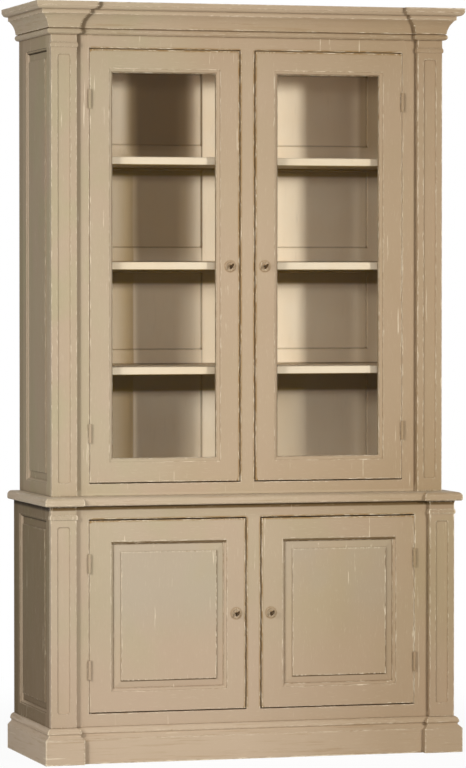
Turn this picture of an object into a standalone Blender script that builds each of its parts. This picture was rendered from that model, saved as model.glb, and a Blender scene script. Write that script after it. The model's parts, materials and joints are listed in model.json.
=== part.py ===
# Display cabinet in two cases: a cupboard with two panelled doors below, and a glazed case with
# two glass doors and three shelves above. Both fronts are breakfronts: the pilasters at the ends
# stand proud of the doors, and the plinth, the waist board and the cornice step round them.
# Metres, +Z up, front towards -Y. The origin is on the floor at the middle of the outer box.

import math
from dataclasses import dataclass

import bmesh
import bpy
from mathutils import Matrix, Vector

# Overall sizes
OVERALL_HEIGHT = 2.350
BASE_WIDTH = 1.312
UPPER_WIDTH = 1.274
BASE_DEPTH = 0.4965
UPPER_SETBACK = 0.067
PILASTER_WIDTH = 0.082
PILASTER_STEP = 0.020

# Levels and visible members of the front
PLINTH_HEIGHT = 0.113
WAIST_TOP = 0.823
WAIST_THICKNESS = 0.027
CORNICE_HEIGHT = 0.100
CASE_DROP_IN_CORNICE = 0.015
BASE_BOTTOM_RAIL = 0.0395
BASE_TOP_RAIL = 0.0425
UPPER_BOTTOM_RAIL = 0.037
FRIEZE_HEIGHT = 0.0395
OUTER_STILE_SHOW = 0.044
CENTRE_STILE_WIDTH = 0.045

# Board thicknesses
SIDE_THICKNESS = 0.024
FRAME_THICKNESS = 0.022
FLOOR_THICKNESS = 0.018
SHELF_THICKNESS = 0.025
BASE_SHELF_THICKNESS = 0.018
UPPER_BACK_THICKNESS = 0.018
BASE_BACK_THICKNESS = 0.012
HOUSING_DEPTH = 0.006
PLINTH_WALL = 0.024

# Clearances
SEAT_GAP = 0.0003
DOOR_GAP = 0.004
HINGE_GAP = 0.002
PANEL_PLAY = 0.002
GLASS_PLAY = 0.001
DOOR_STOP_LIP = 0.008
DOOR_STOP_GAP = 0.0006
CUT_OVERRUN = 0.004
LEDGE_RISE = 0.0002

# Shelves: the top faces of the three display shelves rise by one pitch from the lowest
LOWEST_SHELF_TOP = 1.221
SHELF_PITCH = 0.328
SHELF_COUNT = 3
SHELF_SETBACK = 0.050
SHELF_NOSE_RADIUS = 0.004
BASE_SHELF_TOP = 0.452
BASE_SHELF_SETBACK = 0.060

# Plinth moulding, upwards from the floor: upright face, sloping top, quirk and bead
PLINTH_PROJECTION = 0.0215
PLINTH_UPRIGHT = 0.076
PLINTH_SLOPE_TOP = 0.088
PLINTH_QUIRK_PROJECTION = 0.0095
PLINTH_QUIRK_TOP = 0.0915
PLINTH_BEAD_PROJECTION = 0.0135
PLINTH_BEAD_LIFT = 0.0045

# Waist board edge: eased lower arris, short upright, quarter round above
WAIST_PROJECTION = 0.0215
WAIST_LOWER_EASE = 0.0035
WAIST_UPRIGHT_TOP = 0.0135
WAIST_ROUND_WIDTH = 0.0145

# Cornice, upwards from its lower edge: astragal, small fillet, cove, fillet, ovolo and fascia
CORNICE_PROJECTION = 0.057
CORNICE_FOOT = 0.003
ASTRAGAL_HEIGHT = 0.020
ASTRAGAL_PROJECTION = 0.0145
COVE_FILLET_PROJECTION = 0.0115
COVE_FOOT = 0.0235
COVE_HEAD = 0.0625
COVE_HEAD_PROJECTION = 0.0325
COVE_SAG = 0.0040
UPPER_FILLET_PROJECTION = 0.036
UPPER_FILLET_TOP = 0.0755
OVOLO_FOOT_PROJECTION = 0.039
OVOLO_HEAD = 0.0855
OVOLO_SWELL = 0.0036
FASCIA_SET_IN = 0.0015

# Pilasters: necking bead level with the top of the door opening, and a sunken panel
NECK_BEAD_HEIGHT = 0.014
NECK_BEAD_PROJECTION = 0.0035
NECK_FILLET_HEIGHT = 0.002
NECK_FILLET_PROJECTION = 0.0012
CAP_FLARE = 0.0018
CAP_FLARE_HEIGHT = 0.010
PILASTER_PANEL_WIDTH = 0.040
PILASTER_PANEL_DROP = 0.021
PILASTER_PANEL_DEPTH = 0.005
PILASTER_PANEL_COVE = 0.0045
PILASTER_PANEL_CORNER = 0.0075

# Doors: glazed above, fielded panels below; both panel doors have the wider stile on the left
GLASS_DOOR_STILE = 0.0745
GLASS_DOOR_TOP_RAIL = 0.0715
GLASS_DOOR_BOTTOM_RAIL = 0.075
GLASS_STICKING_WIDTH = 0.012
PANEL_DOOR_LEFT_STILE = 0.0785
PANEL_DOOR_RIGHT_STILE = 0.0695
PANEL_DOOR_TOP_RAIL = 0.075
PANEL_DOOR_BOTTOM_RAIL = 0.0725
PANEL_STICKING_WIDTH = 0.009
STICKING_DEPTH = 0.011
STICKING_QUIRK = 0.0025
GLASS_THICKNESS = 0.004
GLASS_REBATE = 0.008
PANEL_GROOVE_DEPTH = 0.009
PANEL_GROOVE_WIDTH = 0.0066
FIELD_BEVEL_WIDTH = 0.023
FIELD_EDGE_DEPTH = 0.0065
FIELD_DEPTH = 0.0015
BEAD_ROUND = 0.004

# Framed sides, with the same sunk moulding and fielded panel as the doors
SIDE_FRONT_STILE = 0.038
BASE_SIDE_REAR_STILE = 0.080
UPPER_SIDE_REAR_STILE = 0.095

# Framed back of the display case, seen through the glass
BACK_STILE_SHOW = 0.088
BACK_CENTRE_STILE = 0.072
BACK_RAIL_ABOVE_SHELF = 0.046
BACK_RAIL_BELOW_SHELF = 0.006
BACK_PANEL_DEPTH = 0.006
BACK_PANEL_SLOPE = 0.003

# Butt hinges: two leaves and five knuckles round a pin in front of the door face
HINGE_HEIGHT = 0.060
HINGE_END_UPPER = 0.153
HINGE_END_BASE = 0.132
HINGE_LEAF_REACH = 0.016
HINGE_LEAF_THICKNESS = 0.0018
HINGE_LEAF_SUNK = 0.0012
HINGE_AXIS_OUT = 0.0056
HINGE_KNUCKLE_RADIUS = 0.005
HINGE_PIN_RADIUS = 0.002
HINGE_KNUCKLES = 5
HINGE_KNUCKLE_PLAY = 0.0003
HINGE_PIN_PLAY = 0.0003

# Locks: a case let into the back of the door stile, a sliding bolt, a key and a round rose
LOCK_BACKSET = 0.030
LOCK_CASE_LENGTH = 0.044
LOCK_CASE_BELOW = 0.014
LOCK_CASE_ABOVE = 0.024
LOCK_CASE_DEPTH = 0.011
LOCK_WALL = 0.0015
BOLT_LENGTH = 0.036
BOLT_HEIGHT = 0.010
BOLT_THICKNESS = 0.005
BOLT_ABOVE_KEY = 0.0095
BOLT_THROW = 0.009
BOLT_POCKET_PLAY = 0.001
ROSE_RADIUS = 0.0175
ROSE_THICKNESS = 0.003
ROSE_DISH_RADIUS = 0.0105
ROSE_DISH_THICKNESS = 0.0012
ROSE_SUNK = 0.001
KEY_SHAFT_RADIUS = 0.0024
KEY_SHAFT_END = 0.0195
KEYHOLE_PLAY = 0.0005
KEY_COLLAR_RADIUS = 0.0042
KEY_COLLAR_LENGTH = 0.003
KEY_STANDOFF = 0.0015
KEY_NECK = 0.006
KEY_BOW_RADIUS = 0.0082
KEY_BOW_ROD = 0.0018
KEY_BIT_REACH = 0.0085
KEY_BIT_THICKNESS = 0.0026
KEY_BIT_LENGTH = 0.006
KEY_TILT = math.radians(32)

# Facet counts of the round forms
ARC_STEPS = 5
BEAD_STEPS = 6
CORNER_STEPS = 4
PANEL_COVE_STEPS = 3
KNUCKLE_SIDES = 16
ROSE_SIDES = 28
KEY_SIDES = 12
BOW_STEPS = 20
ROD_SIDES = 6
SMOOTH_ANGLE = math.radians(32)
LATHE_WELD = 0.00001

# Levels and planes worked out from the sizes above
OVERALL_DEPTH = BASE_DEPTH + PLINTH_PROJECTION
BACK_PLANE = OVERALL_DEPTH / 2
WAIST_BOTTOM = WAIST_TOP - WAIST_THICKNESS
CORNICE_BOTTOM = OVERALL_HEIGHT - CORNICE_HEIGHT
CASE_TOP = OVERALL_HEIGHT - CASE_DROP_IN_CORNICE


@dataclass
class Tier:
    """One of the two cases: its outline, its height and its door openings."""
    name: str
    half_width: float
    pilaster_face: float
    bottom: float
    top: float
    opening_low: float
    opening_high: float
    back_thickness: float
    hinge_end: float
    side_rear_stile: float

    @property
    def frame_face(self):
        return self.pilaster_face + PILASTER_STEP

    @property
    def frame_back(self):
        return self.frame_face + FRAME_THICKNESS

    @property
    def inner_half_width(self):
        return self.half_width - SIDE_THICKNESS

    @property
    def back_front(self):
        return BACK_PLANE - self.back_thickness

    @property
    def opening_outer(self):
        return self.half_width - PILASTER_WIDTH - OUTER_STILE_SHOW

    @property
    def opening_inner(self):
        return CENTRE_STILE_WIDTH / 2


BASE = Tier("base", BASE_WIDTH / 2, BACK_PLANE - BASE_DEPTH, PLINTH_HEIGHT, WAIST_BOTTOM,
            PLINTH_HEIGHT + BASE_BOTTOM_RAIL, WAIST_BOTTOM - BASE_TOP_RAIL,
            BASE_BACK_THICKNESS, HINGE_END_BASE, BASE_SIDE_REAR_STILE)
UPPER = Tier("upper", UPPER_WIDTH / 2, BASE.pilaster_face + UPPER_SETBACK, WAIST_TOP, CASE_TOP,
             WAIST_TOP + UPPER_BOTTOM_RAIL, CORNICE_BOTTOM - FRIEZE_HEIGHT,
             UPPER_BACK_THICKNESS, HINGE_END_UPPER, UPPER_SIDE_REAR_STILE)


# Scene, collections and materials

def clear_scene():
    for old in list(bpy.data.objects):
        bpy.data.objects.remove(old, do_unlink=True)


def new_collection(name):
    collection = bpy.data.collections.new(name)
    bpy.context.scene.collection.children.link(collection)
    return collection


def principled(name, colour, roughness, metallic=0.0, transmission=0.0):
    material = bpy.data.materials.new(name)
    material.use_nodes = True
    shader = material.node_tree.nodes["Principled BSDF"]
    shader.inputs["Base Color"].default_value = (*colour, 1.0)
    shader.inputs["Roughness"].default_value = roughness
    shader.inputs["Metallic"].default_value = metallic
    shader.inputs["Transmission Weight"].default_value = transmission
    material.diffuse_color = (*colour, 1.0)
    return material


def make_materials():
    return {
        "outer_paint": principled("outer_paint", (0.49, 0.37, 0.23), 0.62),
        "inner_paint": principled("inner_paint", (0.68, 0.57, 0.42), 0.60),
        "glass": principled("glass", (0.93, 0.96, 0.94), 0.05, transmission=1.0),
        "painted_hinge": principled("painted_hinge", (0.46, 0.35, 0.22), 0.50, metallic=0.2),
        "lock_steel": principled("lock_steel", (0.42, 0.40, 0.37), 0.38, metallic=1.0),
        "key_iron": principled("key_iron", (0.07, 0.05, 0.035), 0.45, metallic=0.9),
    }


# Mesh building

def skin_loops(bm, loops, ring=False):
    """Skin closed loops of equal count one after another, capped at both ends unless it is a ring."""
    rings = [[bm.verts.new(point) for point in loop] for loop in loops]
    pairs = list(zip(rings, rings[1:]))
    if ring:
        pairs.append((rings[-1], rings[0]))
    else:
        bm.faces.new(rings[0])
        bm.faces.new(rings[-1])
    for near, far in pairs:
        count = len(near)
        for i in range(count):
            j = (i + 1) % count
            bm.faces.new((near[i], near[j], far[j], far[i]))


def mesh_from(name, bm):
    """Turn the faces outwards, shade round forms smooth and free the bmesh."""
    bmesh.ops.recalc_face_normals(bm, faces=bm.faces)
    mesh = bpy.data.meshes.new(name)
    bm.to_mesh(mesh)
    bm.free()
    mesh.shade_smooth()
    mesh.set_sharp_from_angle(angle=SMOOTH_ANGLE)
    return mesh


def skinned_mesh(name, loops, ring=False):
    bm = bmesh.new()
    skin_loops(bm, loops, ring)
    return mesh_from(name, bm)


def add_box(bm, low, high):
    size = [b - a for a, b in zip(low, high)]
    middle = [(a + b) / 2 for a, b in zip(low, high)]
    matrix = Matrix.Translation(middle) @ Matrix.Diagonal((*size, 1.0))
    bmesh.ops.create_cube(bm, size=1.0, matrix=matrix)


def box_mesh(name, low, high):
    bm = bmesh.new()
    add_box(bm, low, high)
    return mesh_from(name, bm)


def boxes_mesh(name, boxes):
    bm = bmesh.new()
    for low, high in boxes:
        add_box(bm, low, high)
    return mesh_from(name, bm)


def rod_mesh(name, start, end, radius, sides):
    """A capped cylinder from start to end."""
    start, end = Vector(start), Vector(end)
    along = end - start
    turn = along.to_track_quat("Z", "Y").to_matrix().to_4x4()
    bm = bmesh.new()
    bmesh.ops.create_cone(bm, cap_ends=True, segments=sides, radius1=radius, radius2=radius,
                          depth=along.length, matrix=Matrix.Translation((start + end) / 2) @ turn)
    return mesh_from(name, bm)


class Workshop:
    """Puts objects in their collections, sets their origins and cuts or joins them."""

    def __init__(self):
        self.parts = new_collection("display_cabinet")
        self.cutters = new_collection("cutters")
        self.materials = make_materials()
        self.places = {}

    def add(self, mesh, material, carrier=None):
        mesh.materials.append(self.materials[material])
        obj = bpy.data.objects.new(mesh.name, mesh)
        self.parts.objects.link(obj)
        self.centre_origin(obj, carrier)
        return obj

    def tool(self, mesh, carrier=None):
        obj = bpy.data.objects.new(mesh.name, mesh)
        self.hide_tool(obj)
        self.centre_origin(obj, carrier)
        return obj

    def hide_tool(self, obj):
        obj.hide_render = True
        obj.display_type = "WIRE"
        self.cutters.objects.link(obj)

    def centre_origin(self, obj, carrier):
        """Give a mesh drawn in place an origin at its own middle, and hang it on its carrier."""
        corners = [Vector(corner) for corner in obj.bound_box]
        middle = (corners[0] + corners[6]) / 2
        obj.data.transform(Matrix.Translation(-middle))
        self.hang(obj, middle, carrier)

    def hang(self, obj, place, carrier):
        obj.location = Vector(place) - (self.places[carrier.name] if carrier else Vector())
        obj.parent = carrier

    def boolean(self, target, tool, operation):
        modifier = target.modifiers.new(operation.lower(), "BOOLEAN")
        modifier.operation = operation
        modifier.solver = "EXACT"
        modifier.object = tool

    def cut(self, target, mesh, carrier=None):
        self.boolean(target, self.tool(mesh, carrier), "DIFFERENCE")

    def join(self, target, mesh, carrier=None):
        self.boolean(target, self.tool(mesh, carrier), "UNION")

    def carrier(self, name, place, parent=None):
        """An empty on a joint's axis that carries a moving group."""
        empty = bpy.data.objects.new(name, None)
        empty.empty_display_size = PILASTER_WIDTH
        self.parts.objects.link(empty)
        self.hang(empty, place, parent)
        self.places[name] = Vector(place)
        return empty


# Profiles: points run as (out, up) from the case face, or as (inset, depth) from a front edge

def bowed(start, end, sag, steps):
    """Points after start on a circular arc to end; a positive sag is hollow, a negative one swells."""
    start, end = Vector(start), Vector(end)
    chord = end - start
    normal = Vector((-chord.y, chord.x)).normalized()
    radius = (chord.length ** 2 / 4 + sag ** 2) / (2 * abs(sag))
    half = math.asin(min(1.0, chord.length / (2 * radius)))
    middle = (start + end) / 2
    towards = normal if sag > 0 else -normal
    centre = middle - towards * (radius - abs(sag))
    points = []
    for i in range(1, steps + 1):
        angle = -half + 2 * half * i / steps
        along = chord.normalized() * math.sin(angle) * radius
        points.append(tuple(centre + towards * math.cos(angle) * radius + along))
    return points


def quarter(centre, width, height, steps, first=0.0, last=math.pi / 2):
    """Points on an ellipse round centre, from one angle to another, both ends included."""
    points = []
    for i in range(steps + 1):
        angle = first + (last - first) * i / steps
        points.append((centre[0] + width * math.cos(angle), centre[1] + height * math.sin(angle)))
    return points


def plinth_profile():
    bead_foot = PLINTH_QUIRK_TOP + PLINTH_BEAD_LIFT
    points = [(PLINTH_PROJECTION, 0.0), (PLINTH_PROJECTION, PLINTH_UPRIGHT),
              (PLINTH_QUIRK_PROJECTION, PLINTH_SLOPE_TOP), (PLINTH_QUIRK_PROJECTION, PLINTH_QUIRK_TOP)]
    points += quarter((0.0, bead_foot), PLINTH_BEAD_PROJECTION, PLINTH_HEIGHT - bead_foot, BEAD_STEPS)
    return points


def waist_profile():
    inner = WAIST_PROJECTION - WAIST_ROUND_WIDTH
    points = [(WAIST_PROJECTION - WAIST_LOWER_EASE, 0.0), (WAIST_PROJECTION, WAIST_LOWER_EASE)]
    points += quarter((inner, WAIST_UPRIGHT_TOP), WAIST_ROUND_WIDTH,
                      WAIST_THICKNESS - WAIST_UPRIGHT_TOP, BEAD_STEPS)
    return points


def cornice_profile():
    middle = ASTRAGAL_HEIGHT / 2
    points = [(CORNICE_FOOT, 0.0)]
    points += quarter((CORNICE_FOOT, middle), ASTRAGAL_PROJECTION - CORNICE_FOOT, middle,
                      BEAD_STEPS, -math.pi / 2, math.pi / 2)[1:]
    points += [(COVE_FILLET_PROJECTION, ASTRAGAL_HEIGHT), (COVE_FILLET_PROJECTION, COVE_FOOT)]
    points += bowed(points[-1], (COVE_HEAD_PROJECTION, COVE_HEAD), COVE_SAG, ARC_STEPS)
    points += [(UPPER_FILLET_PROJECTION, COVE_HEAD), (UPPER_FILLET_PROJECTION, UPPER_FILLET_TOP),
               (OVOLO_FOOT_PROJECTION, UPPER_FILLET_TOP)]
    points += bowed(points[-1], (CORNICE_PROJECTION - FASCIA_SET_IN, OVOLO_HEAD), -OVOLO_SWELL,
                    ARC_STEPS)
    points += [(CORNICE_PROJECTION, OVOLO_HEAD), (CORNICE_PROJECTION, CORNICE_HEIGHT)]
    return points


def sticking(width):
    """The moulded inner edge of a frame: quirk and ovolo, as (inset from the arris, depth)."""
    points = [(0.0, 0.0), (0.0, STICKING_QUIRK)]
    for i in range(1, ARC_STEPS + 1):
        angle = math.pi / 2 * i / ARC_STEPS
        drop = STICKING_DEPTH - (STICKING_DEPTH - STICKING_QUIRK) * math.cos(angle)
        points.append((width * math.sin(angle), drop))
    return points


# Outlines

def weathered(profile):
    """Tilt the level ledges of a profile a little, as a moulding plane leaves them."""
    points = [profile[0]]
    for out, up in profile[1:]:
        points.append((out, max(up, points[-1][1] + LEDGE_RISE)))
    return points


def breakfront_loop(tier, out, up, back=BACK_PLANE):
    """The stepped outline of a case in plan, pushed out by a projection, at one height."""
    outer = tier.half_width + out
    inner = tier.half_width - PILASTER_WIDTH - out
    proud = tier.pilaster_face - out
    recessed = tier.frame_face - out
    left = [(-outer, back), (-outer, proud), (-inner, proud), (-inner, recessed)]
    right = [(-x, y) for x, y in reversed(left)]
    return [(x, y, up) for x, y in left + right]


def moulded_slab(name, tier, profile, foot):
    """A slab with the stepped outline and a moulded edge at the front and both sides."""
    loops = [breakfront_loop(tier, out, foot + up) for out, up in weathered(profile)]
    return skinned_mesh(name, loops)


def front_loop(x0, x1, z0, z1, y):
    return [(x0, y, z0), (x1, y, z0), (x1, y, z1), (x0, y, z1)]


def inset_front_loop(x0, x1, z0, z1, inset, y):
    low_x, high_x = min(x0, x1) + inset, max(x0, x1) - inset
    return front_loop(low_x, high_x, z0 + inset, z1 - inset, y)


def rounded_front_loop(x0, x1, z0, z1, radius, y):
    """A rectangle with round corners in a plane facing the front."""
    points = []
    corners = [(x1 - radius, z1 - radius, 0), (x0 + radius, z1 - radius, 1),
               (x0 + radius, z0 + radius, 2), (x1 - radius, z0 + radius, 3)]
    for cx, cz, turn in corners:
        for i in range(CORNER_STEPS + 1):
            angle = math.pi / 2 * (turn + i / CORNER_STEPS)
            points.append((cx + radius * math.cos(angle), y, cz + radius * math.sin(angle)))
    return points


# Plinth, waist board and cornice

def make_plinth(shop):
    plinth = shop.add(moulded_slab("plinth", BASE, plinth_profile(), 0.0), "outer_paint")
    inside = BASE.half_width - PLINTH_WALL
    hollow = box_mesh("plinth_hollow",
                      (-inside, BASE.frame_face + PLINTH_WALL, -CUT_OVERRUN),
                      (inside, BACK_PLANE - PLINTH_WALL, PLINTH_HEIGHT + CUT_OVERRUN))
    shop.cut(plinth, hollow)


def make_waist_board(shop):
    shop.add(moulded_slab("waist_board", BASE, waist_profile(), WAIST_BOTTOM), "outer_paint")


def make_cornice(shop):
    mesh = moulded_slab("cornice", UPPER, cornice_profile(), CORNICE_BOTTOM)
    cornice = shop.add(mesh, "outer_paint")
    levels = (CORNICE_BOTTOM - CUT_OVERRUN, OVERALL_HEIGHT + CUT_OVERRUN)
    loops = [breakfront_loop(UPPER, SEAT_GAP, level, BACK_PLANE + CUT_OVERRUN) for level in levels]
    shop.cut(cornice, skinned_mesh("cornice_seat", loops))


# Case boards

def board_ends(tier, depth=HOUSING_DEPTH):
    """Half length of a board whose ends lie in housings in the sides."""
    return tier.inner_half_width + depth - SEAT_GAP


def shelf_tops():
    return [LOWEST_SHELF_TOP + SHELF_PITCH * i for i in range(SHELF_COUNT)]


def case_boards(tier):
    """Name, lower face, upper face and front edge of every board housed in the sides of a case."""
    stop = tier.frame_back + DOOR_STOP_GAP
    floor_top = tier.opening_low + DOOR_STOP_LIP
    boards = [(tier.name + "_floor", floor_top - FLOOR_THICKNESS, floor_top, stop)]
    if tier is BASE:
        low = BASE_SHELF_TOP - BASE_SHELF_THICKNESS
        boards.append(("base_shelf", low, BASE_SHELF_TOP, tier.frame_face + BASE_SHELF_SETBACK))
        return boards
    for i, top in enumerate(shelf_tops(), start=1):
        front = tier.frame_face + SHELF_SETBACK
        boards.append((f"display_shelf_{i}", top - SHELF_THICKNESS, top, front))
    ceiling = tier.opening_high - DOOR_STOP_LIP
    boards.append(("upper_top", ceiling, ceiling + FLOOR_THICKNESS, stop))
    return boards


def nosed_board_mesh(name, half_length, front, back, low, high, nose):
    """A shelf whose front edge is rounded above and below."""
    round_top = quarter((front + nose, high - nose), -nose, nose, CORNER_STEPS)
    round_foot = quarter((front + nose, low + nose), -nose, -nose, CORNER_STEPS)
    section = round_foot[::-1] + round_top + [(back, high), (back, low)]
    return skinned_mesh(name, [[(x, y, z) for y, z in section] for x in (-half_length, half_length)])


def make_case_boards(shop, tier):
    for name, low, high, front in case_boards(tier):
        back = tier.back_front - SEAT_GAP
        half = board_ends(tier)
        if "shelf" in name:
            mesh = nosed_board_mesh(name, half, front, back, low, high, SHELF_NOSE_RADIUS)
        else:
            mesh = box_mesh(name, (-half, front, low), (half, back, high))
        shop.add(mesh, "inner_paint")


def side_relief():
    """Sunk moulding, bevel and raised field of a framed side, as (inset, depth)."""
    moulding = sticking(PANEL_STICKING_WIDTH)
    bevel = PANEL_STICKING_WIDTH + FIELD_BEVEL_WIDTH
    return moulding + [(bevel, FIELD_EDGE_DEPTH), (bevel, FIELD_DEPTH)]


def make_side(shop, tier, hand, word):
    """A side of a case: flat within, with a moulded frame and a fielded panel outside."""
    low, high = tier.bottom + SEAT_GAP, tier.top - SEAT_GAP
    if tier is UPPER:
        high = tier.top
    front, back = tier.frame_face, BACK_PLANE

    def loop(depth, inset=None):
        x = hand * (tier.half_width - depth)
        if inset is None:
            y0, y1, z0, z1 = front, back, low, high
        else:
            y0, y1 = front + SIDE_FRONT_STILE + inset, back - tier.side_rear_stile - inset
            z0, z1 = tier.opening_low + inset, tier.opening_high - inset
        return [(x, y0, z0), (x, y1, z0), (x, y1, z1), (x, y0, z1)]

    loops = [loop(SIDE_THICKNESS), loop(0.0)]
    loops += [loop(depth, inset) for inset, depth in side_relief()]
    side = shop.add(skinned_mesh(f"{tier.name}_side_{word}", loops), "outer_paint")
    housings = []
    for name, board_low, board_high, board_front in case_boards(tier):
        near, far = tier.inner_half_width - CUT_OVERRUN, tier.inner_half_width + HOUSING_DEPTH
        x0, x1 = sorted((hand * near, hand * far))
        housings.append(((x0, board_front - SEAT_GAP, board_low - SEAT_GAP),
                         (x1, tier.back_front, board_high + SEAT_GAP)))
    shop.cut(side, boxes_mesh(f"{tier.name}_housings_{word}", housings))


def make_backs(shop):
    half = BASE.inner_half_width - SEAT_GAP
    mesh = box_mesh("base_back", (-half, BASE.back_front, BASE.bottom + SEAT_GAP),
                    (half, BACK_PLANE, BASE.top - SEAT_GAP))
    shop.add(mesh, "inner_paint")
    half = UPPER.inner_half_width - SEAT_GAP
    mesh = box_mesh("upper_back", (-half, UPPER.back_front, UPPER.bottom + SEAT_GAP),
                    (half, BACK_PLANE, UPPER.top))
    back = shop.add(mesh, "inner_paint")
    shop.cut(back, back_panels_mesh())


def back_panels_mesh():
    """The sunken panels of the back: two columns, one row for each compartment."""
    rail_tops = [top + BACK_RAIL_ABOVE_SHELF for top in shelf_tops()]
    rail_feet = [top - SHELF_THICKNESS - BACK_RAIL_BELOW_SHELF for top in shelf_tops()]
    floor = UPPER.opening_low + DOOR_STOP_LIP + BACK_RAIL_ABOVE_SHELF
    ceiling = UPPER.opening_high - DOOR_STOP_LIP - BACK_RAIL_ABOVE_SHELF
    rows = list(zip([floor] + rail_tops, rail_feet + [ceiling]))
    outer = UPPER.inner_half_width - BACK_STILE_SHOW
    columns = [(-outer, -BACK_CENTRE_STILE / 2), (BACK_CENTRE_STILE / 2, outer)]
    bm = bmesh.new()
    for z0, z1 in rows:
        for x0, x1 in columns:
            y = UPPER.back_front
            skin_loops(bm, [inset_front_loop(x0, x1, z0, z1, 0.0, y - CUT_OVERRUN),
                            inset_front_loop(x0, x1, z0, z1, 0.0, y),
                            inset_front_loop(x0, x1, z0, z1, BACK_PANEL_SLOPE,
                                             y + BACK_PANEL_DEPTH)])
    return mesh_from("upper_back_panels", bm)


# Face frames and pilasters

def door_edges(tier, hand):
    """The hinge edge and the lock edge of a door, in x."""
    return hand * (tier.opening_outer - HINGE_GAP), hand * (tier.opening_inner + DOOR_GAP)


def door_levels(tier):
    return tier.opening_low + DOOR_GAP, tier.opening_high - DOOR_GAP


def lock_level(tier):
    return (tier.opening_low + tier.opening_high) / 2


def hinge_levels(tier):
    low, high = door_levels(tier)
    return {"lower": low + tier.hinge_end, "upper": high - tier.hinge_end}


def hinge_axis(tier, hand):
    return hand * (tier.opening_outer - HINGE_GAP / 2), tier.frame_face - HINGE_AXIS_OUT


def leaf_mortise_box(tier, edge, away, level):
    """The shallow seat of a hinge leaf in the edge of a door or of its opening."""
    depth = HINGE_LEAF_SUNK + SEAT_GAP
    x0, x1 = sorted((edge - away * CUT_OVERRUN / 2, edge + away * depth))
    half = HINGE_HEIGHT / 2 + SEAT_GAP
    return ((x0, tier.frame_face - CUT_OVERRUN, level - half),
            (x1, tier.frame_face + HINGE_LEAF_REACH + SEAT_GAP, level + half))


def bolt_plane(tier):
    """Depth of the middle of a bolt."""
    return tier.frame_back - LOCK_CASE_DEPTH / 2


def bolt_pocket_box(tier, hand):
    """The pocket in the centre stile that a thrown bolt enters."""
    edge = hand * tier.opening_inner
    depth = BOLT_THROW - DOOR_GAP + BOLT_POCKET_PLAY
    x0, x1 = sorted((edge + hand * CUT_OVERRUN / 2, edge - hand * depth))
    low = lock_level(tier) + BOLT_ABOVE_KEY
    half = BOLT_THICKNESS / 2 + BOLT_POCKET_PLAY
    return ((x0, bolt_plane(tier) - half, low - BOLT_POCKET_PLAY),
            (x1, bolt_plane(tier) + half, low + BOLT_HEIGHT + BOLT_POCKET_PLAY))


def make_face_frame(shop, tier):
    half = tier.inner_half_width - SEAT_GAP
    high = tier.top if tier is UPPER else tier.top - SEAT_GAP
    mesh = box_mesh(f"{tier.name}_face_frame", (-half, tier.frame_face, tier.bottom + SEAT_GAP),
                    (half, tier.frame_back, high))
    frame = shop.add(mesh, "outer_paint")
    openings, seats = [], []
    for hand in (-1, 1):
        x0, x1 = sorted((hand * tier.opening_outer, hand * tier.opening_inner))
        openings.append(((x0, tier.frame_face - CUT_OVERRUN, tier.opening_low),
                         (x1, tier.frame_back + CUT_OVERRUN, tier.opening_high)))
        for level in hinge_levels(tier).values():
            seats.append(leaf_mortise_box(tier, hand * tier.opening_outer, hand, level))
        seats.append(bolt_pocket_box(tier, hand))
    shop.cut(frame, boxes_mesh(f"{tier.name}_door_openings", openings))
    shop.cut(frame, boxes_mesh(f"{tier.name}_frame_seats", seats))


def pilaster_profile(tier):
    """Projection of the pilaster at each height: plain shaft, necking bead and plain cap."""
    foot = tier.bottom + SEAT_GAP
    bead_low = tier.opening_high
    bead_high = bead_low + NECK_BEAD_HEIGHT
    middle = (bead_low + bead_high) / 2
    points = [(0.0, foot), (0.0, bead_low)]
    swell = NECK_BEAD_PROJECTION - NECK_FILLET_PROJECTION
    points += quarter((NECK_FILLET_PROJECTION, middle), swell, NECK_BEAD_HEIGHT / 2,
                      BEAD_STEPS, -math.pi / 2, math.pi / 2)
    points += [(NECK_FILLET_PROJECTION, bead_high + NECK_FILLET_HEIGHT),
               (0.0, bead_high + NECK_FILLET_HEIGHT)]
    if tier is BASE:
        points += [(0.0, tier.top - CAP_FLARE_HEIGHT), (CAP_FLARE, tier.top - SEAT_GAP)]
    else:
        points += [(0.0, tier.top)]
    return weathered(points)


def make_pilaster(shop, tier, hand, word):
    x0, x1 = sorted((hand * (tier.half_width - PILASTER_WIDTH), hand * tier.half_width))
    back = tier.frame_face - SEAT_GAP
    loops = []
    for out, z in pilaster_profile(tier):
        front = tier.pilaster_face - out
        loops.append([(x0 - out, back, z), (x0 - out, front, z),
                      (x1 + out, front, z), (x1 + out, back, z)])
    pilaster = shop.add(skinned_mesh(f"{tier.name}_pilaster_{word}", loops), "outer_paint")
    middle = (x0 + x1) / 2
    px0, px1 = middle - PILASTER_PANEL_WIDTH / 2, middle + PILASTER_PANEL_WIDTH / 2
    z0, z1 = door_levels(tier)[0], tier.opening_high - PILASTER_PANEL_DROP
    radius, cove = PILASTER_PANEL_CORNER, PILASTER_PANEL_COVE
    face = tier.pilaster_face
    loops = [rounded_front_loop(px0, px1, z0, z1, radius, face - CUT_OVERRUN),
             rounded_front_loop(px0, px1, z0, z1, radius, face)]
    for inset, depth in quarter((cove, 0.0), -cove, PILASTER_PANEL_DEPTH, PANEL_COVE_STEPS)[1:]:
        loops.append(rounded_front_loop(px0 + inset, px1 - inset, z0 + inset, z1 - inset,
                                        radius - inset, face + depth))
    shop.cut(pilaster, skinned_mesh(f"{tier.name}_pilaster_panel_{word}", loops))


# Doors

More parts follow.
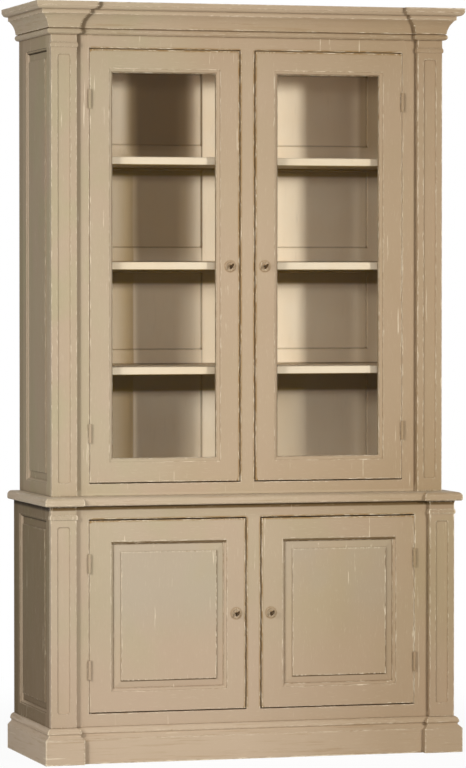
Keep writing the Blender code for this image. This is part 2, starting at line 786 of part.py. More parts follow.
def door_frame_loops(tier, hand, stiles, rails, inner):
    """Loops of a door frame from its outer edge inwards; inner holds (beyond the arris, depth)."""
    hinge_edge, lock_edge = door_edges(tier, hand)
    x0, x1 = sorted((hinge_edge, lock_edge))
    z0, z1 = door_levels(tier)
    face = tier.frame_face
    loops = [front_loop(x0, x1, z0, z1, tier.frame_back), front_loop(x0, x1, z0, z1, face)]
    for beyond, depth in inner:
        loops.append(front_loop(x0 + stiles[0] + beyond, x1 - stiles[1] - beyond,
                                z0 + rails[0] + beyond, z1 - rails[1] - beyond, face + depth))
    return loops


def glass_door_section():
    """Moulded edge and glazing rebate, as (beyond the arris, depth)."""
    points = sticking(GLASS_STICKING_WIDTH)
    rebate = GLASS_STICKING_WIDTH - GLASS_REBATE
    return points + [(rebate, STICKING_DEPTH), (rebate, FRAME_THICKNESS)]


def panel_door_section():
    """Moulded edge, panel groove and back lip, as (beyond the arris, depth)."""
    points = sticking(PANEL_STICKING_WIDTH)
    groove = PANEL_STICKING_WIDTH - PANEL_GROOVE_DEPTH
    back_lip = STICKING_DEPTH + PANEL_GROOVE_WIDTH
    return points + [(groove, STICKING_DEPTH), (groove, back_lip),
                     (PANEL_STICKING_WIDTH, back_lip), (PANEL_STICKING_WIDTH, FRAME_THICKNESS)]


def flats(members, moulding):
    """Flat widths of frame members, without the moulding on their inner edge."""
    return tuple(member - moulding for member in members)


def sight_box(tier, hand, stiles, rails):
    """The clear rectangle inside a door frame."""
    x0, x1 = sorted(door_edges(tier, hand))
    z0, z1 = door_levels(tier)
    return x0 + stiles[0], x1 - stiles[1], z0 + rails[0], z1 - rails[1]


def make_door(shop, tier, hand, word):
    """One door with its infill, lock, key and the moving leaves of its hinges."""
    axis_x, axis_y = hinge_axis(tier, hand)
    kind = "glass_door" if tier is UPPER else "panel_door"
    swing = shop.carrier(f"{kind}_{word}_swing", (axis_x, axis_y, 0.0))
    if tier is UPPER:
        frame = make_glass_door(shop, swing, hand, word)
    else:
        frame = make_panel_door(shop, swing, hand, word)
    edge = door_edges(tier, hand)[0]
    seats = [leaf_mortise_box(tier, edge, -hand, level) for level in hinge_levels(tier).values()]
    shop.cut(frame, boxes_mesh(f"{kind}_{word}_hinge_seats", seats), swing)
    make_lock(shop, tier, hand, f"{kind}_{word}", frame, swing)
    for place, level in hinge_levels(tier).items():
        make_hinge(shop, tier, hand, f"{kind}_{word}_{place}", level, swing)


def make_glass_door(shop, swing, hand, word):
    stiles = (GLASS_DOOR_STILE, GLASS_DOOR_STILE)
    rails = (GLASS_DOOR_BOTTOM_RAIL, GLASS_DOOR_TOP_RAIL)
    loops = door_frame_loops(UPPER, hand, flats(stiles, GLASS_STICKING_WIDTH),
                             flats(rails, GLASS_STICKING_WIDTH), glass_door_section())
    frame = shop.add(skinned_mesh(f"glass_door_{word}_frame", loops, ring=True), "outer_paint", swing)
    x0, x1, z0, z1 = sight_box(UPPER, hand, stiles, rails)
    lap = GLASS_REBATE - GLASS_PLAY
    front = UPPER.frame_face + STICKING_DEPTH + SEAT_GAP
    pane = box_mesh(f"glass_door_{word}_pane", (x0 - lap, front, z0 - lap),
                    (x1 + lap, front + GLASS_THICKNESS, z1 + lap))
    shop.add(pane, "glass", swing)
    make_glazing_bead(shop, swing, word, (x0, x1, z0, z1), front + GLASS_THICKNESS + SEAT_GAP)
    return frame


def make_glazing_bead(shop, swing, word, sight, front):
    """The pinned bead that holds the pane from behind, rounded towards the glass opening."""
    x0, x1, z0, z1 = sight
    back = UPPER.frame_back
    outer = GLASS_REBATE - SEAT_GAP
    section = [(-outer, front), (0.0, front), (0.0, back - BEAD_ROUND)]
    section += [(-BEAD_ROUND + x, back - BEAD_ROUND + y)
                for x, y in quarter((0.0, 0.0), BEAD_ROUND, BEAD_ROUND, CORNER_STEPS)[1:]]
    section += [(-outer, back)]
    loops = [inset_front_loop(x0, x1, z0, z1, inset, y) for inset, y in section]
    shop.add(skinned_mesh(f"glass_door_{word}_bead", loops, ring=True), "inner_paint", swing)


def make_panel_door(shop, swing, hand, word):
    stiles = (PANEL_DOOR_LEFT_STILE, PANEL_DOOR_RIGHT_STILE)
    rails = (PANEL_DOOR_BOTTOM_RAIL, PANEL_DOOR_TOP_RAIL)
    loops = door_frame_loops(BASE, hand, flats(stiles, PANEL_STICKING_WIDTH),
                             flats(rails, PANEL_STICKING_WIDTH), panel_door_section())
    frame = shop.add(skinned_mesh(f"panel_door_{word}_frame", loops, ring=True), "outer_paint", swing)
    sight = sight_box(BASE, hand, stiles, rails)
    face = BASE.frame_face
    tongue = PANEL_GROOVE_DEPTH - PANEL_PLAY
    front, back = STICKING_DEPTH + SEAT_GAP, STICKING_DEPTH + PANEL_GROOVE_WIDTH - SEAT_GAP
    section = [(-tongue, back), (-tongue, front), (0.0, front),
               (FIELD_BEVEL_WIDTH, FIELD_EDGE_DEPTH), (FIELD_BEVEL_WIDTH, FIELD_DEPTH)]
    loops = [inset_front_loop(*sight, inset, face + depth) for inset, depth in section]
    shop.add(skinned_mesh(f"panel_door_{word}_panel", loops), "outer_paint", swing)
    return frame


# Hinges

def leaf_box(tier, hand, towards, level):
    """The plate of a hinge leaf: on the frame side or, with towards reversed, on the door side."""
    axis_x, axis_y = hinge_axis(tier, hand)
    outer = axis_x + towards * (HINGE_GAP / 2 + HINGE_LEAF_SUNK)
    inner = outer - towards * HINGE_LEAF_THICKNESS
    x0, x1 = sorted((outer, inner))
    half = HINGE_HEIGHT / 2
    return ((x0, axis_y + HINGE_PIN_RADIUS + 2 * HINGE_PIN_PLAY, level - half),
            (x1, tier.frame_face + HINGE_LEAF_REACH, level + half))


def knuckle_spans(level, odd):
    """Heights of the knuckles of one leaf; the frame leaf has the even ones."""
    pitch = HINGE_HEIGHT / HINGE_KNUCKLES
    foot = level - HINGE_HEIGHT / 2
    spans = []
    for i in range(1 if odd else 0, HINGE_KNUCKLES, 2):
        low = foot + pitch * i + (HINGE_KNUCKLE_PLAY / 2 if i else 0.0)
        high = foot + pitch * (i + 1) - (HINGE_KNUCKLE_PLAY / 2 if i < HINGE_KNUCKLES - 1 else 0.0)
        spans.append((low, high))
    return spans


def make_leaf(shop, tier, hand, towards, level, name, odd, carrier):
    """A hinge leaf with its own knuckles, notched where the knuckles of the other leaf turn."""
    axis_x, axis_y = hinge_axis(tier, hand)
    leaf = shop.add(box_mesh(name, *leaf_box(tier, hand, towards, level)), "painted_hinge", carrier)
    play = HINGE_KNUCKLE_PLAY
    reach = HINGE_KNUCKLE_RADIUS + play
    notches = [((axis_x - reach, axis_y - reach, low - play), (axis_x + reach, axis_y + reach, high + play))
               for low, high in knuckle_spans(level, not odd)]
    shop.cut(leaf, boxes_mesh(name + "_notches", notches), carrier)
    for i, (low, high) in enumerate(knuckle_spans(level, odd)):
        knuckle = rod_mesh(f"{name}_knuckle_{i}", (axis_x, axis_y, low), (axis_x, axis_y, high),
                           HINGE_KNUCKLE_RADIUS, KNUCKLE_SIDES)
        shop.join(leaf, knuckle, carrier)
    return leaf


def make_hinge(shop, tier, hand, name, level, swing):
    axis_x, axis_y = hinge_axis(tier, hand)
    foot, head = level - HINGE_HEIGHT / 2, level + HINGE_HEIGHT / 2
    fixed = make_leaf(shop, tier, hand, hand, level, f"{name}_hinge_frame_leaf", False, None)
    pin = rod_mesh(f"{name}_hinge_pin", (axis_x, axis_y, foot + CUT_OVERRUN),
                   (axis_x, axis_y, head - CUT_OVERRUN), HINGE_PIN_RADIUS, KNUCKLE_SIDES)
    shop.join(fixed, pin)
    moving = make_leaf(shop, tier, hand, -hand, level, f"{name}_hinge_door_leaf", True, swing)
    bore = rod_mesh(f"{name}_hinge_bore", (axis_x, axis_y, foot), (axis_x, axis_y, head),
                    HINGE_PIN_RADIUS + HINGE_PIN_PLAY, KNUCKLE_SIDES)
    shop.cut(moving, bore, swing)


# Locks and keys

def key_axis_x(tier, hand):
    return door_edges(tier, hand)[1] + hand * LOCK_BACKSET


def lock_case_box(tier, hand, clearance=0.0, open_sides=0.0):
    edge = door_edges(tier, hand)[1]
    level = lock_level(tier)
    x0, x1 = sorted((edge - hand * open_sides, edge + hand * (LOCK_CASE_LENGTH + clearance)))
    return ((x0, tier.frame_back - LOCK_CASE_DEPTH - clearance, level - LOCK_CASE_BELOW - clearance),
            (x1, tier.frame_back + open_sides, level + LOCK_CASE_ABOVE + clearance))


def bolt_box(tier, hand, clearance=0.0, beyond=0.0):
    edge = door_edges(tier, hand)[1]
    low = lock_level(tier) + BOLT_ABOVE_KEY
    x0, x1 = sorted((edge - hand * beyond, edge + hand * BOLT_LENGTH))
    half = BOLT_THICKNESS / 2 + clearance
    return ((x0, bolt_plane(tier) - half, low - clearance),
            (x1, bolt_plane(tier) + half, low + BOLT_HEIGHT + clearance))


def keyhole_mesh(name, tier, hand, front, back):
    """Round hole with a slot below it, through everything between two planes."""
    x, z = key_axis_x(tier, hand), lock_level(tier)
    radius = KEY_SHAFT_RADIUS + KEYHOLE_PLAY
    half = KEY_BIT_THICKNESS / 2 + KEYHOLE_PLAY
    lower = -math.acos(half / radius)
    outline = quarter((0.0, 0.0), radius, radius, KEY_SIDES, lower, math.pi - lower)
    foot = -KEY_BIT_REACH - KEYHOLE_PLAY
    outline += [(-half, foot), (half, foot)]
    return skinned_mesh(name, [[(x + px, y, z + pz) for px, pz in outline] for y in (front, back)])


def rose_tool(shop, name, tier, hand, swing):
    """The round rose that frames the keyhole, turned from its profile."""
    half = (ROSE_RADIUS - ROSE_DISH_RADIUS) / 2
    rim = quarter((ROSE_RADIUS - half, 0.0), half, ROSE_THICKNESS, 2 * CORNER_STEPS, math.pi, 0.0)
    dish = [(r, max(z, ROSE_DISH_THICKNESS)) for r, z in rim[:CORNER_STEPS]]
    points = [(0.0, ROSE_DISH_THICKNESS)] + dish + rim[CORNER_STEPS:]
    points += [(ROSE_RADIUS, -ROSE_SUNK), (0.0, -ROSE_SUNK)]
    bm = bmesh.new()
    verts = [bm.verts.new((r, 0.0, z)) for r, z in points]
    for a, b in zip(verts, verts[1:]):
        bm.edges.new((a, b))
    mesh = bpy.data.meshes.new(name)
    bm.to_mesh(mesh)
    bm.free()
    rose = bpy.data.objects.new(name, mesh)
    shop.hide_tool(rose)
    shop.hang(rose, (key_axis_x(tier, hand), tier.frame_face, lock_level(tier)), swing)
    rose.rotation_euler = (math.pi / 2, 0.0, 0.0)
    screw = rose.modifiers.new("turn", "SCREW")
    screw.steps = ROSE_SIDES
    screw.render_steps = ROSE_SIDES
    screw.use_merge_vertices = True
    screw.merge_threshold = LATHE_WELD
    return rose


def make_lock(shop, tier, hand, name, frame, swing):
    shop.boolean(frame, rose_tool(shop, f"{name}_rose", tier, hand, swing), "UNION")
    pocket = box_mesh(f"{name}_lock_pocket", *lock_case_box(tier, hand, SEAT_GAP, CUT_OVERRUN))
    shop.cut(frame, pocket, swing)
    hole = keyhole_mesh(f"{name}_keyhole", tier, hand, tier.frame_face - ROSE_THICKNESS - CUT_OVERRUN,
                        tier.frame_back - LOCK_CASE_DEPTH)
    shop.cut(frame, hole, swing)
    make_lock_case(shop, tier, hand, name, swing)
    edge = door_edges(tier, hand)[1]
    level = lock_level(tier) + BOLT_ABOVE_KEY + BOLT_HEIGHT / 2
    slide = shop.carrier(f"{name}_bolt_slide", (edge, bolt_plane(tier), level), swing)
    shop.add(box_mesh(f"{name}_bolt", *bolt_box(tier, hand)), "lock_steel", slide)
    make_key(shop, tier, hand, name, swing)


def make_lock_case(shop, tier, hand, name, swing):
    low, high = lock_case_box(tier, hand)
    case = shop.add(box_mesh(f"{name}_lock_case", low, high), "lock_steel", swing)
    inner = (tuple(value + LOCK_WALL for value in low), tuple(value - LOCK_WALL for value in high))
    shop.cut(case, box_mesh(f"{name}_lock_room", *inner), swing)
    shop.cut(case, box_mesh(f"{name}_bolt_slot", *bolt_box(tier, hand, SEAT_GAP, CUT_OVERRUN)), swing)
    hole = keyhole_mesh(f"{name}_case_keyhole", tier, hand, low[1] - CUT_OVERRUN, low[1] + 2 * LOCK_WALL)
    shop.cut(case, hole, swing)


def make_key(shop, tier, hand, name, swing):
    """Key with a round bow, a collar, a shaft and a bit; its origin lies on its turning axis."""
    x, z = key_axis_x(tier, hand), lock_level(tier)
    face = tier.frame_face - ROSE_THICKNESS - KEY_STANDOFF
    turn = shop.carrier(f"{name}_key_turn", (x, face, z), swing)
    turn.rotation_euler = (0.0, KEY_TILT, 0.0)
    neck = face - KEY_COLLAR_LENGTH - KEY_NECK
    shaft_end = tier.frame_face + KEY_SHAFT_END
    shaft = rod_mesh(f"{name}_key", (x, neck, z), (x, shaft_end, z), KEY_SHAFT_RADIUS, KEY_SIDES)
    key = shop.add(shaft, "key_iron", turn)
    shop.join(key, rod_mesh(f"{name}_key_collar", (x, face - KEY_COLLAR_LENGTH, z), (x, face, z),
                            KEY_COLLAR_RADIUS, KEY_SIDES), turn)
    half, bit_back = KEY_BIT_THICKNESS / 2, shaft_end - KEYHOLE_PLAY
    shop.join(key, box_mesh(f"{name}_key_bit", (x - half, bit_back - KEY_BIT_LENGTH, z - KEY_BIT_REACH),
                            (x + half, bit_back, z)), turn)
    bow_middle = (x, neck - KEY_BOW_RADIUS + KEY_BOW_ROD, z)
    shop.join(key, bow_mesh(f"{name}_key_bow", bow_middle), turn)


def bow_mesh(name, centre):
    """The ring that the fingers turn, standing upright in line with the bit."""
    loops = []
    for i in range(BOW_STEPS):
        angle = 2 * math.pi * i / BOW_STEPS
        outward = Vector((0.0, math.cos(angle), math.sin(angle)))
        spine = Vector(centre) + outward * KEY_BOW_RADIUS
        loop = []
        for j in range(ROD_SIDES):
            roll = 2 * math.pi * (j + 0.5) / ROD_SIDES
            loop.append(spine + outward * math.cos(roll) * KEY_BOW_ROD
                        + Vector((math.sin(roll) * KEY_BOW_ROD, 0.0, 0.0)))
        loops.append(loop)
    return skinned_mesh(name, loops, ring=True)


def main():
    clear_scene()
    shop = Workshop()
    make_plinth(shop)
    make_waist_board(shop)
    make_cornice(shop)
    make_backs(shop)
    for tier in (BASE, UPPER):
        make_case_boards(shop, tier)
        make_face_frame(shop, tier)
        for hand, word in ((-1, "left"), (1, "right")):
            make_side(shop, tier, hand, word)
            make_pilaster(shop, tier, hand, word)
            make_door(shop, tier, hand, word)


main()
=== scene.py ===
"""Looks of the display cabinet: rubbed paint, cream interior, glass, iron keys, studio light and camera.

Lengths are in metres and colours are linear. In the named values, a noise is (scale, detail, roughness),
a step is (none at, full at), a ramp is a step and its share, a band is (low, high, softness), and shares are
the strengths where a mask is 0 and where it is 1.
"""

import json
import math

import bpy
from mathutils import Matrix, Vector


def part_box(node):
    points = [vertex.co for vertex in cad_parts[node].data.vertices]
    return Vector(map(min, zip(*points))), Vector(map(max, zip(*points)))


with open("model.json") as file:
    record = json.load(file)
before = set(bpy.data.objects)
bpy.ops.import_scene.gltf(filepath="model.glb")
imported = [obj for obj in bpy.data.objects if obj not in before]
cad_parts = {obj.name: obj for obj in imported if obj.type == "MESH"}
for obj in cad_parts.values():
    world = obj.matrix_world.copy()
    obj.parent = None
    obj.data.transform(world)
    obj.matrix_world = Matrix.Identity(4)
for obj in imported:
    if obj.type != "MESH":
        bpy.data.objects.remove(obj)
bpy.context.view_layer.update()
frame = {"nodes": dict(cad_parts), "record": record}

# Camera fitted to the photo, whose taller side is the sensor's width. Its angles are in degrees
LENS = 189.0
SENSOR = 36.0
CAMERA_PLACE = (-3.5823, -12.2663, 1.4997)
CAMERA_YAW = 16.265
CAMERA_PITCH = 1.51
CAMERA_CLIP = (0.1, 200.0)

# Lamps: (name, kind, degrees to the right of the front, distance, height, aimed height, size, watts)
LAMPS = [("key_right", "AREA", 22.0, 7.0, 2.42, 1.25, 0.6, 242.0),
         ("fill_left", "AREA", -45.0, 6.0, 2.35, 1.25, 0.8, 162.0),
         ("side_left", "AREA", -57.0, 5.0, 2.3, 1.25, 0.8, 28.0),
         ("low_front", "SPOT", -8.0, 7.0, 2.6, 0.90, 0.3, 310.0)]
SPOT_CONE = math.radians(25)
LAMP_COLOUR = (1.0, 0.985, 0.955)
WORLD_LIGHT = 0.130
WORLD_COLOUR = (1.0, 0.98, 0.95)
WHITE = (1.0, 1.0, 1.0)

# Floor: matt only near the object, where it takes the shadow, and white to the camera farther out
STAGE_HALF = 30.0
STAGE_WHITE = (0.62, 0.62, 0.62)
STAGE_CLOUD = (0.60, 0.60, 0.60)
STAGE_NOISE = (0.4, 2.0, 0.5)
SHADOW_SHARE = 0.12
SHADOW_REACH = (2.4, 0.9)
FLOOR_LIFT = 1.06

# Colours of the outer paint and of what lies on it
TAUPE = (0.446, 0.368, 0.258)
TAUPE_PINK = (0.460, 0.362, 0.264)
TAUPE_GREEN = (0.430, 0.368, 0.246)
TAUPE_ROSE = (0.440, 0.328, 0.224)
TAUPE_GREY = (0.415, 0.360, 0.275)
TAUPE_STREAK = (0.530, 0.415, 0.300)
TAUPE_FOOT = (0.478, 0.362, 0.262)
# Brown of the patina, also of the painted shade at the right end and under the cornice
PATINA_AND_SHADE = (0.200, 0.110, 0.020)
# Brown of the glaze, also of the painted shadows and shade mixed into it
GLAZE_AND_SHADE = (0.110, 0.066, 0.024)
GAP_BROWN = (0.620, 0.390, 0.170)
STAIN = (0.250, 0.145, 0.046)
# Dark of the painted shade on the left sides
SIDE_SHADE_DARK = (0.098, 0.062, 0.020)
# Near black of the glaze and painted shade on the left sides
DEEP_GLAZE_AND_SHADE = (0.030, 0.018, 0.008)
WORN_CREAM = (0.760, 0.655, 0.490)
HINGE_CREAM = (0.900, 0.800, 0.640)

# Colours of the interior and of the metals
CREAM = (0.920, 0.785, 0.615)
CREAM_WARM = (0.900, 0.745, 0.560)
# Brown of the cream's strokes and glaze, also of the painted shade on the upper back
CREAM_GLAZE_AND_SHADE = (0.200, 0.120, 0.040)
# Ochre of the painted shade on the upper back
OCHRE_SHADE = (0.340, 0.200, 0.040)
SHADE_BROWN = (0.280, 0.170, 0.010)
IRON = (0.050, 0.025, 0.006)
IRON_RUST = (0.130, 0.070, 0.020)
STEEL = (0.42, 0.40, 0.37)
STEEL_STAIN = (0.22, 0.18, 0.14)

# Which nodes stand where, and how their brush strokes run
BASE_TIER = ("base", "plinth", "waist", "panel")
UNDER_WAIST_BOARD = ("base_side", "base_pilaster", "base_face_frame")
BRUSHED_ACROSS = ("cornice", "waist_board", "plinth")
EVEN = (1.0, 1.0, 1.0)
ALONG_X = (1.0, 1.0, 14.0)
ALONG_Z = (14.0, 14.0, 1.0)
RAIL_OFFSET = (3.1, 1.7, 0.4)

# Frames: the width of a stile, and the heights of the lower and the upper rail
FRAME_MEMBERS = {"base_face_frame": (0.102, 0.0395, 0.0425),
                 "upper_face_frame": (0.102, 0.0370, 0.1245),
                 "glass_door": (0.0745, 0.0750, 0.0715),
                 "panel_door": (0.0740, 0.0725, 0.0750)}

# Ground coat: clouds of colour, brush strokes, rosier at the right and at the foot
SEED_SHIFT = (1.37, 0.71, 2.13)
CLOUD_STRETCH = (1.0, 1.0, 0.7)
CLOUD_NOISE = (3.2, 3.0, 0.5)
TINT_STRETCH = (1.0, 1.0, 0.8)
TINT_NOISE = (5.0, 2.0, 0.5)
STROKE_NOISE = (9.0, 6.0, 0.68)
FINE_NOISE = (48.0, 5.0, 0.7)
PATCH_NOISE = (4.5, 4.0, 0.65)
PATCH_STEP = (0.40, 0.66)
DRIFT_SHARES = (0.65, 1.35)
PINK_STEP = (0.36, 0.66)
GREEN_STEP = (0.45, 0.70)
STREAK_RAMP = (0.54, 0.74, 0.30)
FINE_RAMP = (0.46, 0.28, 0.11)
ROSE_ACROSS = (-0.42, -0.10)
ROSE_UP = (0.75, 0.90)
ROSE_SHARES = (0.40, 0.80)
FOOT_RAMP = (0.52, 0.18, 0.80)
GREY_CLOUD = (0.40, 0.56)
GREY_UP = (0.34, 0.52)
GREY_SHARE = 0.55
PALE = {"plinth": 0.75, "waist_board": 0.35}

# Brown film over the whole piece, with painted shade in it: heavier at the right end, most so low down, and
# under the cornice
AGE = {"cornice": 0.05, "upper_pilaster_right": 0.04, "upper_pilaster_left": 0.04,
       "glass_door_left_frame": 0.02}
HINGE_AGE = 0.10
RIGHT_SHADE_UP = (0.80, 1.20)
RIGHT_SHADE_SHARES = (0.31, 0.22)
RIGHT_SHADE_ACROSS = (-0.10, 0.55)
UNDER_CORNICE_SHADE_RAMP = (2.05, 2.27, 0.10)
PATINA_STRETCH = (1.0, 1.0, 0.6)
PATINA_NOISE = (3.0, 3.0, 0.55)
PATINA_PATCH_RAMP = (0.35, 0.75, 0.07)
PATINA_MOST = 0.9
SMEAR_STRETCH = (1.0, 1.0, 24.0)
SMEAR_NOISE = (5.0, 5.0, 0.65)
SMEAR_RAMP = (0.52, 0.70, 0.30)

# Painted shade on the left sides: less on the front stile, more on the rear one, with painted light on
# mouldings that face the lamps
SIDE_SHADE = {"base_side_left": 0.655, "upper_side_left": 0.22}
FRONT_STILE_EDGE = (0.060, 0.045)
FRONT_STILE_LESS_SHADE = 0.14
REAR_STILE_EDGE = (-0.060, -0.045)
REAR_STILE_SHADE = {"base_side_left": 0.40, "upper_side_left": 0.20}
SIDE_LIT_MOULDING_STEP = (-0.20, -0.70)
SIDE_LIT_MOULDING_SHARES = (0.35, 0.90)
SIDE_LIT_MOULDING_END = 0.090

# Bands painted paler near the top or the foot of a node: (0 for the foot or 1 for the top, none at, full at,
# share, colour)
PALE_EDGES = {"waist_board": (1, -0.0012, -0.0004, 0.45, WORN_CREAM),
              "cornice": (1, -0.042, -0.034, 0.40, TAUPE_STREAK),
              "upper_face_frame": (0, 0.010, 0.003, 0.12, WORN_CREAM)}

# Glaze wiped off the flats: what stays in corners, in mouldings and in narrow quirks
CORNER_REACH = 0.013
DEEP_STEP = (0.46, 0.80)
DEEP_SHARE = {"cornice": 0.45}
SOFT_STEP = (0.18, 0.46)
GLAZED = {"base_side_left": 0.50, "cornice": 0.45, "upper_face_frame": 0.50, "base_face_frame": 0.40,
          "plinth": 0.12}
GLAZED_OTHER = 0.22
PILASTER_QUIRK_REACH = 0.0050
PILASTER_QUIRK_RAMP = (0.16, 0.42, 0.80)
QUIRK_REACH = 0.0032
QUIRK_STEP = (0.28, 0.50)
QUIRK_SHARE = {"cornice": 0.30}
QUIRK_OTHER = 0.70

# Painted shade on sloping mouldings, by how far they turn from the light, and glaze wiped off those that
# face it
LIT_RAMP = (-0.15, -0.60, 0.85)
TURNED_AWAY_SHADE_STEP = (0.30, 0.80)
TURNED_AWAY_SHADE_SIDES = 0.95
TURNED_AWAY_SHADE_PANEL_DOOR = 0.55
TURNED_AWAY_SHADE_OTHER = 0.70

# Painted shadow and glaze beside the pilasters, as (left, right) shares, and how wide its strips are from
# the mitre line
SHADOW_BESIDE = {"cornice": (0.60, 0.30), "upper_face_frame": (0.28, 0.35), "base_face_frame": (0.04, 0.0),
          "plinth": (0.15, 0.0), "waist_board": (0.12, 0.10)}
SHADOW_BESIDE_FRIEZE = (0.60, 0.36)
FRIEZE_UP = (2.16, 2.22)
NECK_REACH = 0.0035
RETURN_DEPTH = 0.021
BESIDE_LEFT_BAND = (-RETURN_DEPTH, 0.013, 0.007)
BESIDE_RIGHT_BAND = (-RETURN_DEPTH, 0.003, 0.004)
FACE_DEPTH = 0.003

# Lines of painted shadow round a raised field and of painted shade in the sticking round it: (start, end,
# softness) from an edge
FIELD_INSET = 0.031
FIELD_BELOW = (-0.0034, 0.0004, 0.0012)
FIELD_BELOW_SHARE = 0.80
FIELD_RIGHT = (-0.0004, 0.0032, 0.0012)
FIELD_RIGHT_SHARE = 0.65
FIELD_END = 0.003
STICKING_TOP = (-0.0060, 0.0005, 0.0020)
STICKING_TOP_SHARE = 0.85
STICKING_SIDE = (0.0005, 0.0045, 0.0020)
STICKING_SIDE_SHARE = 0.10
STICKING_END = 0.002

# Edges of the door gaps: stained beside the open gap, and clean cream along the hinges
HINGE_SIDE_BAND = (-0.006, 0.006, 0.004)
HINGE_SIDE_CLEAN = 0.90
OPENING_FOOT = 0.004
OPENING_HEAD = 0.012
OPENING_SOFT = 0.004
OPENING_ACROSS = (-0.002, -0.006)
LOCK_EDGE_STEP = (0.010, 0.007)
RIM_REACH = 0.0085
RIM_STEP = (0.06, 0.36)
RIM_PATCH_SHARES = (0.90, 0.55)
WALL_STEP = (0.66, 0.82)
WITHIN_STEP = (0.76, 0.92)
LEVEL_FACE_STEP = (0.90, 0.97)

# Where the glaze is mostly wiped off: a whole node, or its foot as (none at, full at, share left)
WIPED = {"waist_board": 0.08}
WIPED_HINGE = 0.25
WIPED_FOOT = {"upper_face_frame": (0.012, 0.022, 0.08), "base_face_frame": (0.010, 0.018, 0.15)}

# Painted shadow with dark glaze in a line under the waist board, and a faint painted shade below it
JOINT_FADE = -0.0165
JOINT_SIDE_FADE = -0.022
JOINT_DARK = -0.0100
JOINT_SHARE = 0.97
JOINT_SHADE_RAMP = (-0.055, -0.018, 0.13)

# Hand marks on and round the key roses, by the distance from the key
KEY_RING = (0.0130, 0.0185, 0.0030)
KEY_RING_SHARE = 0.45
KEY_MIDDLE_RAMP = (0.0110, 0.0070, 0.60)
KEY_FINE_STEP = (0.30, 0.55)

# Rubbed arrises, pits in them, and long scratches
RUBBED = {"plinth": 1.6, "waist_board": 1.2, "cornice": 0.8}
RUBBED_PILASTER = {"base_pilaster_left": 0.5, "upper_pilaster_left": 0.7}
RUBBED_PILASTER_OTHER = 1.0
RUBBED_PANEL = 1.0
RUBBED_FRAME = 0.7
RUBBED_SIDE = 0.35
ARRIS_REACH = 0.0055
ARRIS_PATCH_SHARES = (0.6, 1.4)
ARRIS_PAST_DOORS = 0.008
ARRIS_PAST_DOORS_SOFT = 0.004
BEAD_BAND = (-0.050, -0.028, 0.003)
BEAD_WEAR = 2.8
CHIP_NOISE = (34.0, 5.0, 0.75)
CHIP_RAMP = (0.36, 0.64, 0.7)
RUBBED_STEP = (0.66, 0.80)
PIT_NOISE = (60.0, 4.0, 0.7)
PIT_RAMP = (0.36, 0.64, 0.8)
PITTED_STEP = (0.95, 1.05)
PITTED_SHARE = 0.55
SCRATCH_ALONG_X = (2.6, 2.6, 60.0)
SCRATCH_ALONG_Z = (60.0, 60.0, 2.6)
SCRATCH_NOISE = (1.6, 4.0, 0.6)
SCRATCH_PATCH_SHARE = 0.05
SCRATCH_STEP = (0.700, 0.745)
SCRATCH_SHARE = 0.7
BARE_SHARE = 0.85

# Skin of the outer paint
SHEEN = 0.22
# Weaker sheen on the left sides that carry painted shade
SHEEN_SHADED_SIDE = 0.02
PAINT_ROUGH_STEP = (0.3, 0.7)
PAINT_ROUGHNESS = (0.52, 0.70)
PAINT_RELIEF_SHARE = 0.6
PAINT_BUMP = (0.0006, 0.5)

# Cream paint: brush strokes, brown in corners and grooves, taupe showing on the edges
CREAM_SHIFT = (0.9, 1.3, 0.4)
CREAM_CLOUD_NOISE = (4.0, 3.0, 0.6)
CREAM_WARM_STEP = (0.35, 0.65)
CREAM_STROKE_NOISE = (14.0, 6.0, 0.7)
CREAM_STROKE_RAMP = (0.45, 0.25, 0.15)
CREAM_CORNER_REACH = 0.012
CREAM_CORNER_RAMP = (0.22, 0.80, 0.8)
CREAM_GROOVE_REACH = 0.008
CREAM_GROOVE_RAMP = (0.10, 0.30, 0.85)
CREAM_EDGE_REACH = 0.004
CREAM_EDGE_NOISE = (36.0, 4.0, 0.7)
CREAM_EDGE_RAMP = (0.90, 1.0, 0.2)
CREAM_ROUGHNESS = (0.5, 0.68)
CREAM_BUMP = (0.0004, 0.4)
SHELF_FILM = 0.14

# Painted shadow under each shelf, in brown: on the upper back for these heights, and on the shelf's own
# underside
SHADE_FADE = 0.012
SHADE_SHARE = 0.90
BACK_SHADE_HEIGHTS = (0.068, 0.050, 0.032)
UNDERSIDE = 0.002

# Painted shade on the upper back, seen only inside the case: zones across it, and above or below a shelf
DISPLAY_SHELVES = ("display_shelf_1", "display_shelf_2", "display_shelf_3")
INSIDE_MARGIN = 0.004
OVER_SHELF = (-0.02, 0.06)
UNDER_SHELF = (-0.02, -0.06)
BACK_MIDDLE_BAND = (-0.262, -0.100, 0.050)
MIDDLE_OCHRE_SHARES = (0.10, 0.52)
MIDDLE_BROWN_SHARE = 0.62
BACK_STILE_RAMP = (-0.261, -0.268, 0.62)
BACK_STILE_NEAR = (-0.335, -0.276)
BACK_STILE_SHARES = (0.45, 1.10)
RIGHT_END_STEP = (0.485, 0.505)
RIGHT_END_SHARES = (0.22, 0.55)
LOW_LEFT_RAMP = (-0.262, -0.275, 0.40)
LOW_RIGHT_BAND = (0.100, 0.280, 0.050)
LOW_RIGHT_SHARE = 0.42
SEAM_BAND = (-0.0405, -0.0365, 0.0012)
SEAM_SHARES = (0.25, 0.70)

